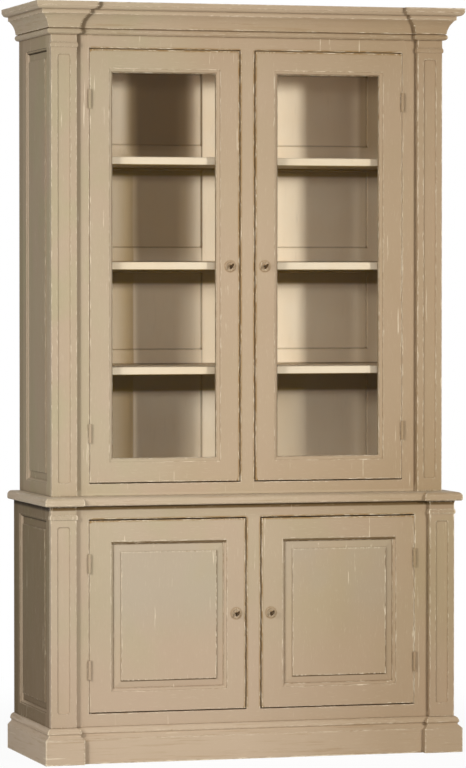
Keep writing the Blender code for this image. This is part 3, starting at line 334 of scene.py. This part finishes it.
# Glass: nearly clear, a weak reflection, faint dust
GLASS_CLEAR = (0.975, 0.978, 0.970)
GLASS_GLOSS = (0.9, 0.92, 0.9)
GLASS_INDEX = 1.45
GLASS_SHINE = 0.16
GLASS_ROUGHNESS = (0.02, 0.12)
GLASS_DUST_COLOUR = (0.7, 0.68, 0.62)
GLASS_DUST_STRETCH = (1.0, 1.0, 0.4)
GLASS_DUST_NOISE = (22.0, 5.0, 0.7)
GLASS_DUST_STEP = (0.5, 0.8)
GLASS_DUST_SHARE = 0.008

# Metals: stained patches, pits and brighter arrises
METAL_PATCH_NOISE = (90.0, 4.0, 0.6)
METAL_PIT_NOISE = (360.0, 5.0, 0.7)
METAL_STAIN_STEP = (0.42, 0.66)
METAL_ARRIS_REACH = 0.0015
METAL_WORN_RAMP = (0.25, 0.6, 0.3)
METAL_ROUGHNESS_SPREAD = (-0.1, 0.12)
METAL_BUMP = (0.0002, 0.5)

# Softened arrises of the CAD pieces, by material slot
WELD_DISTANCE = 0.00002
ARRIS_WIDTHS = {"outer_paint": 0.0008, "inner_paint": 0.0008, "glass": 0.0004,
                "painted_hinge": 0.0003, "lock_steel": 0.0003, "key_iron": 0.0004}
ARRIS_SEGMENTS = 2
ARRIS_ANGLE = math.radians(35)

# Rays of each mask that looks for hollows or arrises
OCCLUSION_SAMPLES = 8


class Graph:
    """Short words for the node tree of a material or a world."""

    def __init__(self, owner):
        owner.use_nodes = True
        self.owner = owner
        self.tree = owner.node_tree
        self.tree.nodes.clear()

    def make(self, kind, inputs=None, **settings):
        node = self.tree.nodes.new(kind)
        for key, value in settings.items():
            setattr(node, key, value)
        for key, value in (inputs or {}).items():
            self.put(node.inputs[key], value)
        return node

    def put(self, socket, value):
        if isinstance(value, bpy.types.NodeSocket):
            self.tree.links.new(value, socket)
        elif isinstance(value, tuple) and len(value) == 3 and socket.type == "RGBA":
            socket.default_value = (*value, 1.0)
        else:
            socket.default_value = value

    def maths(self, operation, a, b=0.0, clamp=False):
        return self.make("ShaderNodeMath", {0: a, 1: b}, operation=operation, use_clamp=clamp).outputs[0]

    def chain(self, operation, values, clamp=False):
        """One operation over several values, from the first to the last."""
        result = values[0]
        for value in values[1:]:
            result = self.maths(operation, result, value, clamp)
        return result

    def times(self, *values, clamp=False):
        return self.chain("MULTIPLY", values, clamp)

    def plus(self, *values):
        return self.chain("ADD", values)

    def most(self, *values):
        return self.chain("MAXIMUM", values)

    def minus(self, a, b):
        return self.maths("SUBTRACT", a, b)

    def rest(self, value):
        """What is left of 1."""
        return self.maths("SUBTRACT", 1.0, value)

    def size(self, value):
        """The value without its sign."""
        return self.maths("ABSOLUTE", value)

    def mixed(self, kind, sockets, output, factor, a, b):
        """The output of a mix node of this kind, whose factor, first and second value are these sockets."""
        node = self.make("ShaderNodeMix", data_type=kind)
        for index, value in zip(sockets, (factor, a, b)):
            self.put(node.inputs[index], value)
        return node.outputs[output]

    def mix(self, factor, a, b):
        """Two colours, by factor."""
        return self.mixed("RGBA", (0, 6, 7), 2, factor, a, b)

    def blend(self, factor, a, b):
        """Two numbers, by factor."""
        return self.mixed("FLOAT", (0, 2, 3), 0, factor, a, b)

    def blend_vectors(self, factor, a, b):
        return self.mixed("VECTOR", (0, 4, 5), 1, factor, a, b)

    def step(self, value, none, full, at=0.0):
        """0 at none and 1 at full, smooth between. Both are counted from at."""
        limits = {"Value": value, "From Min": at + none, "From Max": at + full}
        return self.make("ShaderNodeMapRange", limits, interpolation_type="SMOOTHSTEP").outputs[0]

    def ramp(self, value, none, full, share, at=0.0):
        """A step that rises to a share instead of 1."""
        return self.times(self.step(value, none, full, at), share)

    def band(self, value, low, high, soft, at=0.0):
        """1 between low and high, fading out over soft on either side. Both are counted from at."""
        return self.times(self.step(value, low - soft, low, at), self.step(value, high + soft, high, at))

    def seen_directly(self):
        """1 for what the camera sees, also in mirrors and through glass."""
        path = self.make("ShaderNodeLightPath").outputs
        return self.most(path["Is Camera Ray"], path["Is Glossy Ray"], path["Is Transmission Ray"])

    def layered(self, factor, under, over):
        """Two shaders, by factor."""
        return self.make("ShaderNodeMixShader", {0: factor, 1: under, 2: over}).outputs[0]


class Surface(Graph):
    """The node tree of one material, with the place on the object as x, y and z."""

    def __init__(self, name):
        super().__init__(bpy.data.materials.new(name))
        self.place = self.make("ShaderNodeTexCoord").outputs["Object"]
        self.x, self.y, self.z = self.parts(self.place)

    def parts(self, vector):
        return self.make("ShaderNodeSeparateXYZ", {"Vector": vector}).outputs

    def stretched(self, stretch, offset=(0.0, 0.0, 0.0)):
        return self.make("ShaderNodeMapping", {"Vector": self.place, "Scale": stretch,
                                               "Location": offset}).outputs[0]

    def noise(self, vector, scale, detail, roughness):
        return self.make("ShaderNodeTexNoise", {"Vector": vector, "Scale": scale, "Detail": detail,
                                                "Roughness": roughness}).outputs["Fac"]

    def occlusion(self, reach, **settings):
        node = self.make("ShaderNodeAmbientOcclusion", {"Distance": reach}, samples=OCCLUSION_SAMPLES,
                         **settings)
        return self.rest(node.outputs["AO"])

    def hollow(self, reach):
        """0 on open faces, rising in grooves and beside neighbours."""
        return self.occlusion(reach)

    def arris(self, reach):
        """0 on flats, rising towards outer edges and on thin beads."""
        return self.occlusion(reach, inside=True, only_local=True)

    def bump(self, height, distance, strength):
        return self.make("ShaderNodeBump", {"Height": height, "Distance": distance,
                                            "Strength": strength}).outputs[0]

    def shown(self, shader):
        """The finished material, with this shader on its surface."""
        self.make("ShaderNodeOutputMaterial", {"Surface": shader})
        return self.owner

    def principled(self, sockets):
        return self.shown(self.make("ShaderNodeBsdfPrincipled", sockets).outputs[0])


class PaintedSurface(Surface):
    """The material of one painted node: what the node is, and the masks that the coats of paint share."""

    def __init__(self, name, node, seed):
        super().__init__(name)
        self.node = node
        self.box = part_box(node)
        self.low, self.high = self.box
        self.tier = "base" if node.startswith(BASE_TIER) else "upper"
        self.door_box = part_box("panel_door_left_frame" if self.tier == "base" else "glass_door_left_frame")
        self.is_brushed_across = node in BRUSHED_ACROSS
        self.is_frame = node.endswith("_frame")
        self.is_face_frame = node.endswith("_face_frame")
        self.is_hinge = "hinge" in node
        self.is_side = "side" in node
        self.is_panel_door = node.startswith("panel_door")
        self.is_panel = node.endswith("_panel")
        self.is_moulded = self.is_side or self.is_face_frame or "door" in node
        self.side_shade = SIDE_SHADE.get(node, 0.0)
        self.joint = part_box("waist_board")[0].z if node.startswith(UNDER_WAIST_BOARD) else None
        self.shift = tuple(seed * share for share in SEED_SHIFT)

        # Masks that several coats share
        self.grain = brush_vector(self)
        self.strokes = self.noise(self.grain, *STROKE_NOISE)
        self.fine = self.noise(self.grain, *FINE_NOISE)
        self.drift = self.blend(self.fine, *DRIFT_SHARES)
        self.patch = self.step(self.noise(self.stretched(EVEN, self.shift), *PATCH_NOISE), *PATCH_STEP)
        self.corners = self.hollow(CORNER_REACH)
        if self.is_moulded:
            self.facing = self.parts(self.make("ShaderNodeNewGeometry").outputs["Normal"])
            self.turned = self.minus(self.facing[1 if self.is_side else 0], self.facing[2])
        if self.is_frame:
            self.open_gap = open_gap(self)
            self.hinge_side = self.band(self.size(self.x), *HINGE_SIDE_BAND, at=-self.door_box[0].x)


def brush_vector(g):
    """Coordinates drawn out along each member: long pieces and rails across, everything else upright."""
    if g.is_brushed_across:
        return g.stretched(ALONG_X)
    upright = g.stretched(ALONG_Z)
    if not g.is_frame:
        return upright
    stile, low_rail, high_rail = next(sizes for name, sizes in FRAME_MEMBERS.items()
                                      if g.node.startswith(name))
    off_middle = g.size(g.minus(g.x, (g.low.x + g.high.x) / 2))
    between = g.maths("LESS_THAN", off_middle, (g.high.x - g.low.x) / 2 - stile)
    below = g.maths("LESS_THAN", g.z, g.low.z + low_rail)
    above = g.maths("GREATER_THAN", g.z, g.high.z - high_rail)
    rails = g.times(between, g.most(below, above))
    return g.blend_vectors(rails, upright, g.stretched(ALONG_X, RAIL_OFFSET))


def open_gap(g):
    """1 beside the open gap of a door, which the hinges don't fill."""
    door_low, door_high = g.door_box
    if g.is_face_frame:
        opening = g.band(g.z, door_low.z + OPENING_FOOT, door_high.z + OPENING_HEAD, OPENING_SOFT)
        return g.times(g.step(g.size(g.x), *OPENING_ACROSS, at=-door_low.x), opening)
    lock_edge = g.high.x if g.high.x < 0 else g.low.x
    from_edge = g.maths("MINIMUM", g.size(g.minus(g.x, lock_edge)), g.minus(g.high.z, g.z))
    return g.step(from_edge, *LOCK_EDGE_STEP)


def ground_coat(g):
    """Brushed taupe in clouds of colour, with pale streaks and dark fine strokes."""
    cloud = g.noise(g.stretched(CLOUD_STRETCH, g.shift), *CLOUD_NOISE)
    tint = g.noise(g.stretched(TINT_STRETCH, g.shift[1:] + g.shift[:1]), *TINT_NOISE)
    colour = g.mix(g.step(cloud, *PINK_STEP), TAUPE, TAUPE_PINK)
    colour = g.mix(g.step(tint, *GREEN_STEP), colour, TAUPE_GREEN)
    colour = g.mix(g.ramp(g.strokes, *STREAK_RAMP), colour, TAUPE_STREAK)
    colour = g.mix(g.ramp(g.fine, *FINE_RAMP), colour, GLAZE_AND_SHADE)
    rose = g.times(g.step(g.x, *ROSE_ACROSS), g.blend(g.step(g.z, *ROSE_UP), *ROSE_SHARES))
    colour = g.mix(rose, colour, TAUPE_ROSE)
    colour = g.mix(g.ramp(g.z, *FOOT_RAMP), colour, TAUPE_FOOT)
    if g.is_panel:
        greyed = g.times(g.step(cloud, *GREY_CLOUD), g.step(g.z, *GREY_UP), GREY_SHARE)
        colour = g.mix(greyed, colour, TAUPE_GREY)
    if g.node in PALE:
        colour = g.mix(PALE[g.node], colour, TAUPE_STREAK)
    return colour


def patina_and_shade(g):
    """Patches of brown film, and painted shade that is heavier at the right end and under the cornice."""
    # Painted shade: heavier at the right end, most so low down, and under the cornice
    right = g.times(g.step(g.x, *RIGHT_SHADE_ACROSS), g.blend(g.step(g.z, *RIGHT_SHADE_UP), *RIGHT_SHADE_SHARES))
    top = g.ramp(g.z, *UNDER_CORNICE_SHADE_RAMP)
    patches = g.ramp(g.noise(g.stretched(PATINA_STRETCH), *PATINA_NOISE), *PATINA_PATCH_RAMP)
    age = HINGE_AGE if g.is_hinge else AGE.get(g.node, 0.0)
    return g.maths("MINIMUM", g.plus(right, top, patches, age), PATINA_MOST)


def filmed(g, colour):
    """Patina and painted shade, smears along the long mouldings, painted shade and light on the left sides,
    pale edges and the stained rims of the door gaps.
    """
    colour = g.mix(patina_and_shade(g), colour, PATINA_AND_SHADE)
    if g.is_brushed_across:
        smears = g.noise(g.stretched(SMEAR_STRETCH, g.shift), *SMEAR_NOISE)
        colour = g.mix(g.ramp(smears, *SMEAR_RAMP), colour, STAIN)
    if g.side_shade:
        colour = painted_side_shade(g, colour)
    if g.node in PALE_EDGES:
        end, none, full, share, pale = PALE_EDGES[g.node]
        colour = g.mix(g.ramp(g.z, none, full, share, at=g.box[end].z), colour, pale)
    if g.is_frame:
        rim = g.times(g.step(g.arris(RIM_REACH), *RIM_STEP), g.blend(g.patch, *RIM_PATCH_SHARES))
        colour = g.mix(g.times(rim, g.open_gap, g.drift, clamp=True), colour, STAIN)
    return colour


def painted_side_shade(g, colour):
    """Painted shade on a left side, stile by stile, with painted light on the mouldings that face the lamps.
    """
    # Painted shade, lighter on the front stile and darker on the rear one
    front = g.step(g.y, *FRONT_STILE_EDGE, at=g.low.y)
    colour = g.mix(g.blend(front, g.side_shade, g.side_shade - FRONT_STILE_LESS_SHADE), colour, SIDE_SHADE_DARK)
    rear = g.ramp(g.y, *REAR_STILE_EDGE, REAR_STILE_SHADE[g.node], at=g.high.y)
    colour = g.mix(rear, colour, SIDE_SHADE_DARK)
    # Painted light on the mouldings that face the front and the lamps
    rearward = g.step(g.y, (g.low.y + g.high.y) / 2, g.high.y - SIDE_LIT_MOULDING_END)
    pale = g.times(g.step(g.turned, *SIDE_LIT_MOULDING_STEP), g.blend(rearward, *SIDE_LIT_MOULDING_SHARES))
    return g.mix(pale, colour, TAUPE_STREAK)


def glaze_and_turned_shade(g):
    """Glazing left in corners and quirks and wiped off mouldings that face the light, with painted shade on
    those turned away.
    """
    deep = g.ramp(g.corners, *DEEP_STEP, DEEP_SHARE.get(g.node, 1.0))
    soft = g.ramp(g.corners, *SOFT_STEP, GLAZED.get(g.node, GLAZED_OTHER))
    if "pilaster" in g.node:
        quirk = g.ramp(g.hollow(PILASTER_QUIRK_REACH), *PILASTER_QUIRK_RAMP)
    else:
        quirk = g.ramp(g.hollow(QUIRK_REACH), *QUIRK_STEP, QUIRK_SHARE.get(g.node, QUIRK_OTHER))
    darkening = g.most(deep, soft, quirk)
    # Painted shade by how a moulding faces: darker turned away from the lamps, less glaze where it faces
    # them
    if g.is_moulded:
        darkening = g.times(darkening, g.rest(g.ramp(g.turned, *LIT_RAMP)))
        turned_away_shade = TURNED_AWAY_SHADE_SIDES if g.side_shade else TURNED_AWAY_SHADE_PANEL_DOOR if g.is_panel_door else TURNED_AWAY_SHADE_OTHER
        darkening = g.most(darkening, g.ramp(g.turned, *TURNED_AWAY_SHADE_STEP, turned_away_shade))
    return darkening


def placed_glaze_and_shadows(g, darkening):
    """Painted shadows beside the pilasters, round the raised fields, in the stickings and under the waist
    board, with less glazing where it is handled or cleaned.
    """
    if g.is_frame:
        darkening = g.times(darkening, g.rest(g.times(g.hinge_side, HINGE_SIDE_CLEAN)))
    # Painted shadows beside the pilasters, round the raised fields and in the stickings
    if g.node in SHADOW_BESIDE:
        darkening = g.most(darkening, shadow_beside_pilasters(g))
    if g.is_panel:
        darkening = g.most(darkening, field_shadow_lines(g))
    if g.is_panel_door and g.is_frame:
        darkening = g.most(darkening, sticking_shade_lines(g))
    if g.node in WIPED:
        darkening = g.times(darkening, WIPED[g.node])
    if g.node in WIPED_FOOT:
        none, full, share = WIPED_FOOT[g.node]
        darkening = g.times(darkening, g.blend(g.step(g.z, none, full, at=g.low.z), share, 1.0))
    if g.is_hinge:
        darkening = g.times(darkening, WIPED_HINGE)
    darkening = g.times(darkening, g.drift, clamp=True)
    # Painted shadow under the waist board
    if g.joint:
        fade = JOINT_SIDE_FADE if g.is_side else JOINT_FADE
        line = g.ramp(g.z, fade, JOINT_DARK, JOINT_SHARE, at=g.joint)
        darkening = g.most(darkening, line, g.ramp(g.z, *JOINT_SHADE_RAMP, at=g.joint))
    return darkening


def shadow_beside_pilasters(g):
    """Painted shadow and glazing on a strip beside each pilaster, following the mitres of the mouldings."""
    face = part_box(f"{g.tier}_face_frame")[0].y
    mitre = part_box(f"{g.tier}_pilaster_left")[1].x - NECK_REACH + face
    left = g.band(g.minus(g.plus(g.x, g.y), mitre), *BESIDE_LEFT_BAND)
    right = g.band(g.minus(g.minus(g.y, g.x), mitre), *BESIDE_RIGHT_BAND)
    front = g.maths("LESS_THAN", g.y, face + FACE_DEPTH)
    shares = SHADOW_BESIDE[g.node]
    if g.node == "upper_face_frame":
        frieze = g.step(g.z, *FRIEZE_UP)
        shares = [g.blend(frieze, low, high) for low, high in zip(shares, SHADOW_BESIDE_FRIEZE)]
    return g.times(g.most(g.times(left, shares[0]), g.times(right, shares[1])), front)


def field_shadow_lines(g):
    """Painted shadow on the bevel along the raised field, below it and to its right."""
    left, right = g.low.x + FIELD_INSET, g.high.x - FIELD_INSET
    foot, head = g.low.z + FIELD_INSET, g.high.z - FIELD_INSET
    below = g.times(g.band(g.z, *FIELD_BELOW, at=foot), g.band(g.x, left, right, FIELD_END))
    beside = g.times(g.band(g.x, *FIELD_RIGHT, at=right), g.band(g.z, foot, head, FIELD_END))
    return g.most(g.times(below, FIELD_BELOW_SHARE), g.times(beside, FIELD_RIGHT_SHARE))


def sticking_shade_lines(g):
    """Painted shade in the moulding round a panel, below its top edge and beside its left edge."""
    low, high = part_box(g.node.replace("_frame", "_panel"))
    top = g.times(g.band(g.z, *STICKING_TOP, at=high.z), g.band(g.x, low.x, high.x, STICKING_END))
    side = g.times(g.band(g.x, *STICKING_SIDE, at=low.x), g.band(g.z, low.z, high.z, STICKING_END))
    return g.most(g.times(top, STICKING_TOP_SHARE), g.times(side, STICKING_SIDE_SHARE))


def glazed_and_shaded(g, colour, darkening):
    """Glazing and painted shade over the coat: near black on the left sides, paler inside the gaps, and
    cream on the hinge side's walls.
    """
    if g.is_frame:
        walls = g.times(g.hinge_side, g.step(g.corners, *WALL_STEP))
        colour = g.mix(walls, colour, HINGE_CREAM)
    # Near black glaze and painted shade on the left sides
    if g.side_shade:
        return g.mix(darkening, colour, DEEP_GLAZE_AND_SHADE)
    within = g.step(g.corners, *WITHIN_STEP)
    if g.is_frame:
        within = g.most(within, g.step(g.size(g.facing[2]), *LEVEL_FACE_STEP))
    return g.mix(darkening, colour, g.mix(within, GLAZE_AND_SHADE, GAP_BROWN))


def hand_marks(g):
    """Brown marks on and round the key rose of a door."""
    low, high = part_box(g.node.replace("_frame", "_key"))
    across = g.minus(g.x, (low.x + high.x) / 2)
    up = g.minus(g.z, (low.z + high.z) / 2)
    reach = g.maths("SQRT", g.plus(g.times(across, across), g.times(up, up)))
    ring = g.times(g.band(reach, *KEY_RING), KEY_RING_SHARE)
    middle = g.ramp(reach, *KEY_MIDDLE_RAMP)
    return g.times(g.most(ring, middle), g.step(g.fine, *KEY_FINE_STEP))


def rubbed_share(g):
    """How far the arrises of a painted node are rubbed through."""
    if g.is_hinge:
        return 0.0
    if "pilaster" in g.node:
        return RUBBED_PILASTER.get(g.node, RUBBED_PILASTER_OTHER)
    if g.is_panel:
        return RUBBED_PANEL
    if g.is_side:
        return RUBBED_SIDE
    return RUBBED.get(g.node, RUBBED_FRAME)


def worn(g, colour):
    """Pits and bare cream on the arrises, and scratches: the colour, and where the cream is bare."""
    edge = g.arris(ARRIS_REACH)
    if g.is_face_frame:
        foot, head = g.door_box[0].z - ARRIS_PAST_DOORS, g.door_box[1].z + ARRIS_PAST_DOORS
        edge = g.times(edge, g.band(g.z, foot, head, ARRIS_PAST_DOORS_SOFT))
    share = rubbed_share(g)
    reach = g.times(edge, g.blend(g.patch, *(share * part for part in ARRIS_PATCH_SHARES)))
    if g.node.startswith("base_pilaster"):
        reach = g.times(reach, g.blend(g.band(g.z, *BEAD_BAND, at=g.joint), 1.0, BEAD_WEAR))
    chips = g.ramp(g.noise(g.grain, *CHIP_NOISE), *CHIP_RAMP)
    rubbed = g.step(g.plus(reach, chips), *RUBBED_STEP)
    pits = g.ramp(g.noise(g.stretched(EVEN, g.shift), *PIT_NOISE), *PIT_RAMP)
    pitted = g.step(g.plus(reach, pits), *PITTED_STEP)
    colour = g.mix(g.times(pitted, PITTED_SHARE * (1.0 - g.side_shade)), colour, STAIN)
    along = SCRATCH_ALONG_X if g.is_brushed_across else SCRATCH_ALONG_Z
    scratches = g.noise(g.stretched(along, g.shift), *SCRATCH_NOISE)
    nicks = g.ramp(g.plus(scratches, g.times(g.patch, SCRATCH_PATCH_SHARE)), *SCRATCH_STEP, SCRATCH_SHARE)
    bare = g.most(rubbed, nicks)
    return g.mix(g.times(bare, BARE_SHARE), colour, WORN_CREAM), bare


def painted(name, node, seed):
    """Brushed taupe over cream: brown film and painted shade, glazing in the hollows, cream where it is
    rubbed through.
    """
    g = PaintedSurface(name, node, seed)
    colour = filmed(g, ground_coat(g))
    colour = glazed_and_shaded(g, colour, placed_glaze_and_shadows(g, glaze_and_turned_shade(g)))
    if g.is_frame and not g.is_face_frame:
        colour = g.mix(hand_marks(g), colour, STAIN)
    colour, bare = worn(g, colour)
    height = g.minus(g.times(g.fine, PAINT_RELIEF_SHARE), bare)
    return g.principled({"Base Color": colour,
                         "Roughness": g.blend(g.step(g.strokes, *PAINT_ROUGH_STEP), *PAINT_ROUGHNESS),
                         "Specular IOR Level": SHEEN_SHADED_SIDE if g.side_shade else SHEEN,
                         "Normal": g.bump(height, *PAINT_BUMP)})


def shelf_shade(g, node):
    """Painted shadow under the shelves, on the upper back or on a shelf's own underside, or None."""
    if node == "upper_back":
        feet = [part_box(shelf)[0].z for shelf in DISPLAY_SHELVES]
        bands = [(foot - height, foot) for foot, height in zip(feet, BACK_SHADE_HEIGHTS)]
    elif "shelf" in node:
        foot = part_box(node)[0].z
        bands = [(foot - UNDERSIDE - SHADE_FADE, foot + UNDERSIDE)]
    else:
        return None
    fades = [g.ramp(g.z, 0.0, SHADE_FADE, SHADE_SHARE, at=low) for low, high in bands]
    ends = [g.maths("LESS_THAN", g.z, high) for low, high in bands]
    return g.most(*(g.times(fade, end) for fade, end in zip(fades, ends)))


def inside_case(g):
    """1 on the part of the upper back that faces the display shelves, below the case top."""
    before = g.maths("LESS_THAN", g.y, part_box("upper_back")[1].y - INSIDE_MARGIN)
    return g.times(before, g.maths("LESS_THAN", g.z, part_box("upper_top")[0].z + INSIDE_MARGIN))


def painted_shade_on_back(g, colour, inside):
    """Painted shade in ochre and brown on the upper back, in zones between the shelves."""
    levels = [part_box(shelf)[1].z for shelf in DISPLAY_SHELVES]
    over_second, over_third = (g.step(g.z, *OVER_SHELF, at=level) for level in levels[1:])
    under_first = g.step(g.z, *UNDER_SHELF, at=levels[0])
    middle = g.band(g.x, *BACK_MIDDLE_BAND)
    stile = g.times(g.ramp(g.x, *BACK_STILE_RAMP),
                    g.blend(g.step(g.x, *BACK_STILE_NEAR), *BACK_STILE_SHARES), g.rest(over_third))
    right_end = g.times(g.step(g.x, *RIGHT_END_STEP), g.blend(over_third, *RIGHT_END_SHARES))
    ochre = g.most(stile, g.times(middle, g.blend(over_second, *MIDDLE_OCHRE_SHARES)), right_end)
    colour = g.mix(g.times(ochre, inside), colour, OCHRE_SHADE)
    low_left = g.times(g.ramp(g.x, *LOW_LEFT_RAMP), under_first)
    low_right = g.times(g.band(g.x, *LOW_RIGHT_BAND), under_first, LOW_RIGHT_SHARE)
    seam = g.times(g.band(g.x, *SEAM_BAND), g.blend(over_second, *SEAM_SHARES))
    brown = g.most(g.times(middle, over_third, MIDDLE_BROWN_SHARE), low_left, low_right, seam)
    return g.mix(g.times(brown, inside), colour, CREAM_GLAZE_AND_SHADE)


def cream(name, node, seed):
    """Cream paint of the interior, browned in the corners, with painted shadow below the shelves and painted
    shade on the upper back.
    """
    g = Surface(name)
    brushed = ALONG_Z if "back" in node or "bead" in node else ALONG_X
    grain = g.stretched(brushed, tuple(seed * share for share in CREAM_SHIFT))
    cloud = g.noise(g.stretched(EVEN, (seed, 0.0, seed)), *CREAM_CLOUD_NOISE)
    strokes = g.noise(grain, *CREAM_STROKE_NOISE)
    colour = g.mix(g.step(cloud, *CREAM_WARM_STEP), CREAM, CREAM_WARM)
    colour = g.mix(g.ramp(strokes, *CREAM_STROKE_RAMP), colour, CREAM_GLAZE_AND_SHADE)
    darkening = g.most(g.ramp(g.hollow(CREAM_CORNER_REACH), *CREAM_CORNER_RAMP),
                   g.ramp(g.hollow(CREAM_GROOVE_REACH), *CREAM_GROOVE_RAMP))
    shade = shelf_shade(g, node)
    if node == "upper_back":
        inside = inside_case(g)
        # Painted shade on the upper back, inside the case
        colour = painted_shade_on_back(g, colour, inside)
        darkening = g.times(darkening, inside)
        shade = g.times(shade, inside)
    elif "shelf" in node:
        colour = g.mix(SHELF_FILM, colour, CREAM_GLAZE_AND_SHADE)
    colour = g.mix(darkening, colour, CREAM_GLAZE_AND_SHADE)
    # Painted shadow under the shelves
    if shade is not None:
        colour = g.mix(shade, colour, SHADE_BROWN)
    edge = g.plus(g.arris(CREAM_EDGE_REACH), g.noise(grain, *CREAM_EDGE_NOISE))
    colour = g.mix(g.ramp(edge, *CREAM_EDGE_RAMP), colour, TAUPE)
    return g.principled({"Base Color": colour, "Roughness": g.blend(strokes, *CREAM_ROUGHNESS),
                         "Specular IOR Level": SHEEN, "Normal": g.bump(strokes, *CREAM_BUMP)})


def clear_glass(name):
    """Thin clear sheet: light passes straight through, with faint dust and a weak reflection."""
    g = Surface(name)
    dust = g.step(g.noise(g.stretched(GLASS_DUST_STRETCH), *GLASS_DUST_NOISE), *GLASS_DUST_STEP)
    clear = g.make("ShaderNodeBsdfTransparent", {"Color": GLASS_CLEAR}).outputs[0]
    gloss = g.make("ShaderNodeBsdfGlossy", {"Color": GLASS_GLOSS,
                                            "Roughness": g.blend(dust, *GLASS_ROUGHNESS)}).outputs[0]
    film = g.make("ShaderNodeBsdfDiffuse", {"Color": GLASS_DUST_COLOUR}).outputs[0]
    shine = g.make("ShaderNodeFresnel", {"IOR": GLASS_INDEX}).outputs[0]
    clean = g.layered(g.times(shine, GLASS_SHINE), clear, gloss)
    return g.shown(g.layered(g.times(dust, GLASS_DUST_SHARE), clean, film))


def metal(name, colour, stain, roughness, metallic):
    """Old metal with stained patches and a finely pitted skin."""
    g = Surface(name)
    patches = g.noise(g.place, *METAL_PATCH_NOISE)
    tone = g.mix(g.step(patches, *METAL_STAIN_STEP), colour, stain)
    tone = g.mix(g.ramp(g.arris(METAL_ARRIS_REACH), *METAL_WORN_RAMP), tone, STEEL)
    rough = g.blend(patches, *(roughness + spread for spread in METAL_ROUGHNESS_SPREAD))
    return g.principled({"Base Color": tone, "Metallic": metallic, "Roughness": rough,
                         "Normal": g.bump(g.noise(g.place, *METAL_PIT_NOISE), *METAL_BUMP)})


def dress(frame):
    """Give each CAD node softened arrises and the material of its slot."""
    slots = {entry["node"]: entry["material_slot"] for entry in frame["record"]["subparts"]}
    shared = {"glass": clear_glass("clear_glass"),
              "lock_steel": metal("lock_steel", STEEL, STEEL_STAIN, roughness=0.42, metallic=1.0),
              "key_iron": metal("key_iron", IRON, IRON_RUST, roughness=0.55, metallic=0.35)}
    for seed, (node, obj) in enumerate(sorted(frame["nodes"].items())):
        kind = slots[node]
        if kind in shared:
            material = shared[kind]
        elif kind == "inner_paint":
            material = cream(f"cream_{node}", node, seed)
        else:
            material = painted(f"paint_{node}", node, seed)
        obj.data.materials.clear()
        obj.data.materials.append(material)
        soften(obj, ARRIS_WIDTHS[kind])


def soften(obj, width):
    weld = obj.modifiers.new("weld", "WELD")
    weld.merge_threshold = WELD_DISTANCE
    bevel = obj.modifiers.new("arris", "BEVEL")
    bevel.width = width
    bevel.segments = ARRIS_SEGMENTS
    bevel.limit_method = "ANGLE"
    bevel.angle_limit = ARRIS_ANGLE
    bevel.use_clamp_overlap = True
    bevel.harden_normals = True


def stage_material():
    """White to the camera, in mirrors and through glass, with the object's shadow left in it."""
    g = Surface("stage_white")
    radius = g.make("ShaderNodeVectorMath", {0: g.place}, operation="LENGTH").outputs["Value"]
    near = g.step(radius, *SHADOW_REACH)
    cloud = g.mix(g.noise(g.place, *STAGE_NOISE), STAGE_WHITE, STAGE_CLOUD)
    matt = g.make("ShaderNodeBsdfDiffuse", {"Color": cloud}).outputs[0]
    strength = g.blend(near, 1.0, FLOOR_LIFT)
    white = g.make("ShaderNodeEmission", {"Color": WHITE, "Strength": strength}).outputs[0]
    share = g.rest(g.times(near, SHADOW_SHARE))
    return g.shown(g.layered(g.times(g.seen_directly(), share), matt, white))


def build_stage():
    mesh = bpy.data.meshes.new("studio_floor")
    corners = [(x * STAGE_HALF, y * STAGE_HALF, 0.0) for x, y in ((-1, -1), (1, -1), (1, 1), (-1, 1))]
    mesh.from_pydata(corners, [], [(0, 1, 2, 3)])
    floor = bpy.data.objects.new("studio_floor", mesh)
    floor.data.materials.append(stage_material())
    bpy.context.scene.collection.objects.link(floor)


def build_world():
    """Faint warm light all round, and white to the camera, in mirrors and through glass."""
    world = bpy.data.worlds.new("studio")
    bpy.context.scene.world = world
    g = Graph(world)
    light = g.make("ShaderNodeBackground", {"Color": WORLD_COLOUR, "Strength": WORLD_LIGHT}).outputs[0]
    white = g.make("ShaderNodeBackground", {"Color": WHITE, "Strength": 1.0}).outputs[0]
    g.make("ShaderNodeOutputWorld", {"Surface": g.layered(g.seen_directly(), light, white)})


def build_lamps():
    for name, kind, turn, distance, height, aimed, size, watts in LAMPS:
        data = bpy.data.lights.new(name, kind)
        if kind == "AREA":
            data.shape = "SQUARE"
            data.size = size
        else:
            data.shadow_soft_size = size
            data.spot_size = SPOT_CONE
            data.spot_blend = 1.0
        data.energy = watts
        data.color = LAMP_COLOUR
        lamp = bpy.data.objects.new(name, data)
        angle = math.radians(turn)
        lamp.location = (distance * math.sin(angle), -distance * math.cos(angle), height)
        aim = Vector((0.0, 0.0, aimed)) - lamp.location
        lamp.rotation_euler = aim.to_track_quat("-Z", "Y").to_euler()
        lamp.visible_glossy = False
        bpy.context.scene.collection.objects.link(lamp)


def build_camera():
    data = bpy.data.cameras.new("photo_camera")
    data.lens = LENS
    data.sensor_width = SENSOR
    data.clip_start, data.clip_end = CAMERA_CLIP
    camera = bpy.data.objects.new("photo_camera", data)
    camera.location = CAMERA_PLACE
    camera.rotation_euler = (math.radians(90.0 - CAMERA_PITCH), 0.0, math.radians(-CAMERA_YAW))
    bpy.context.scene.collection.objects.link(camera)
    bpy.context.scene.camera = camera


dress(frame)
build_stage()
build_world()
build_lamps()
build_camera()
bpy.context.scene.view_settings.view_transform = "Standard"
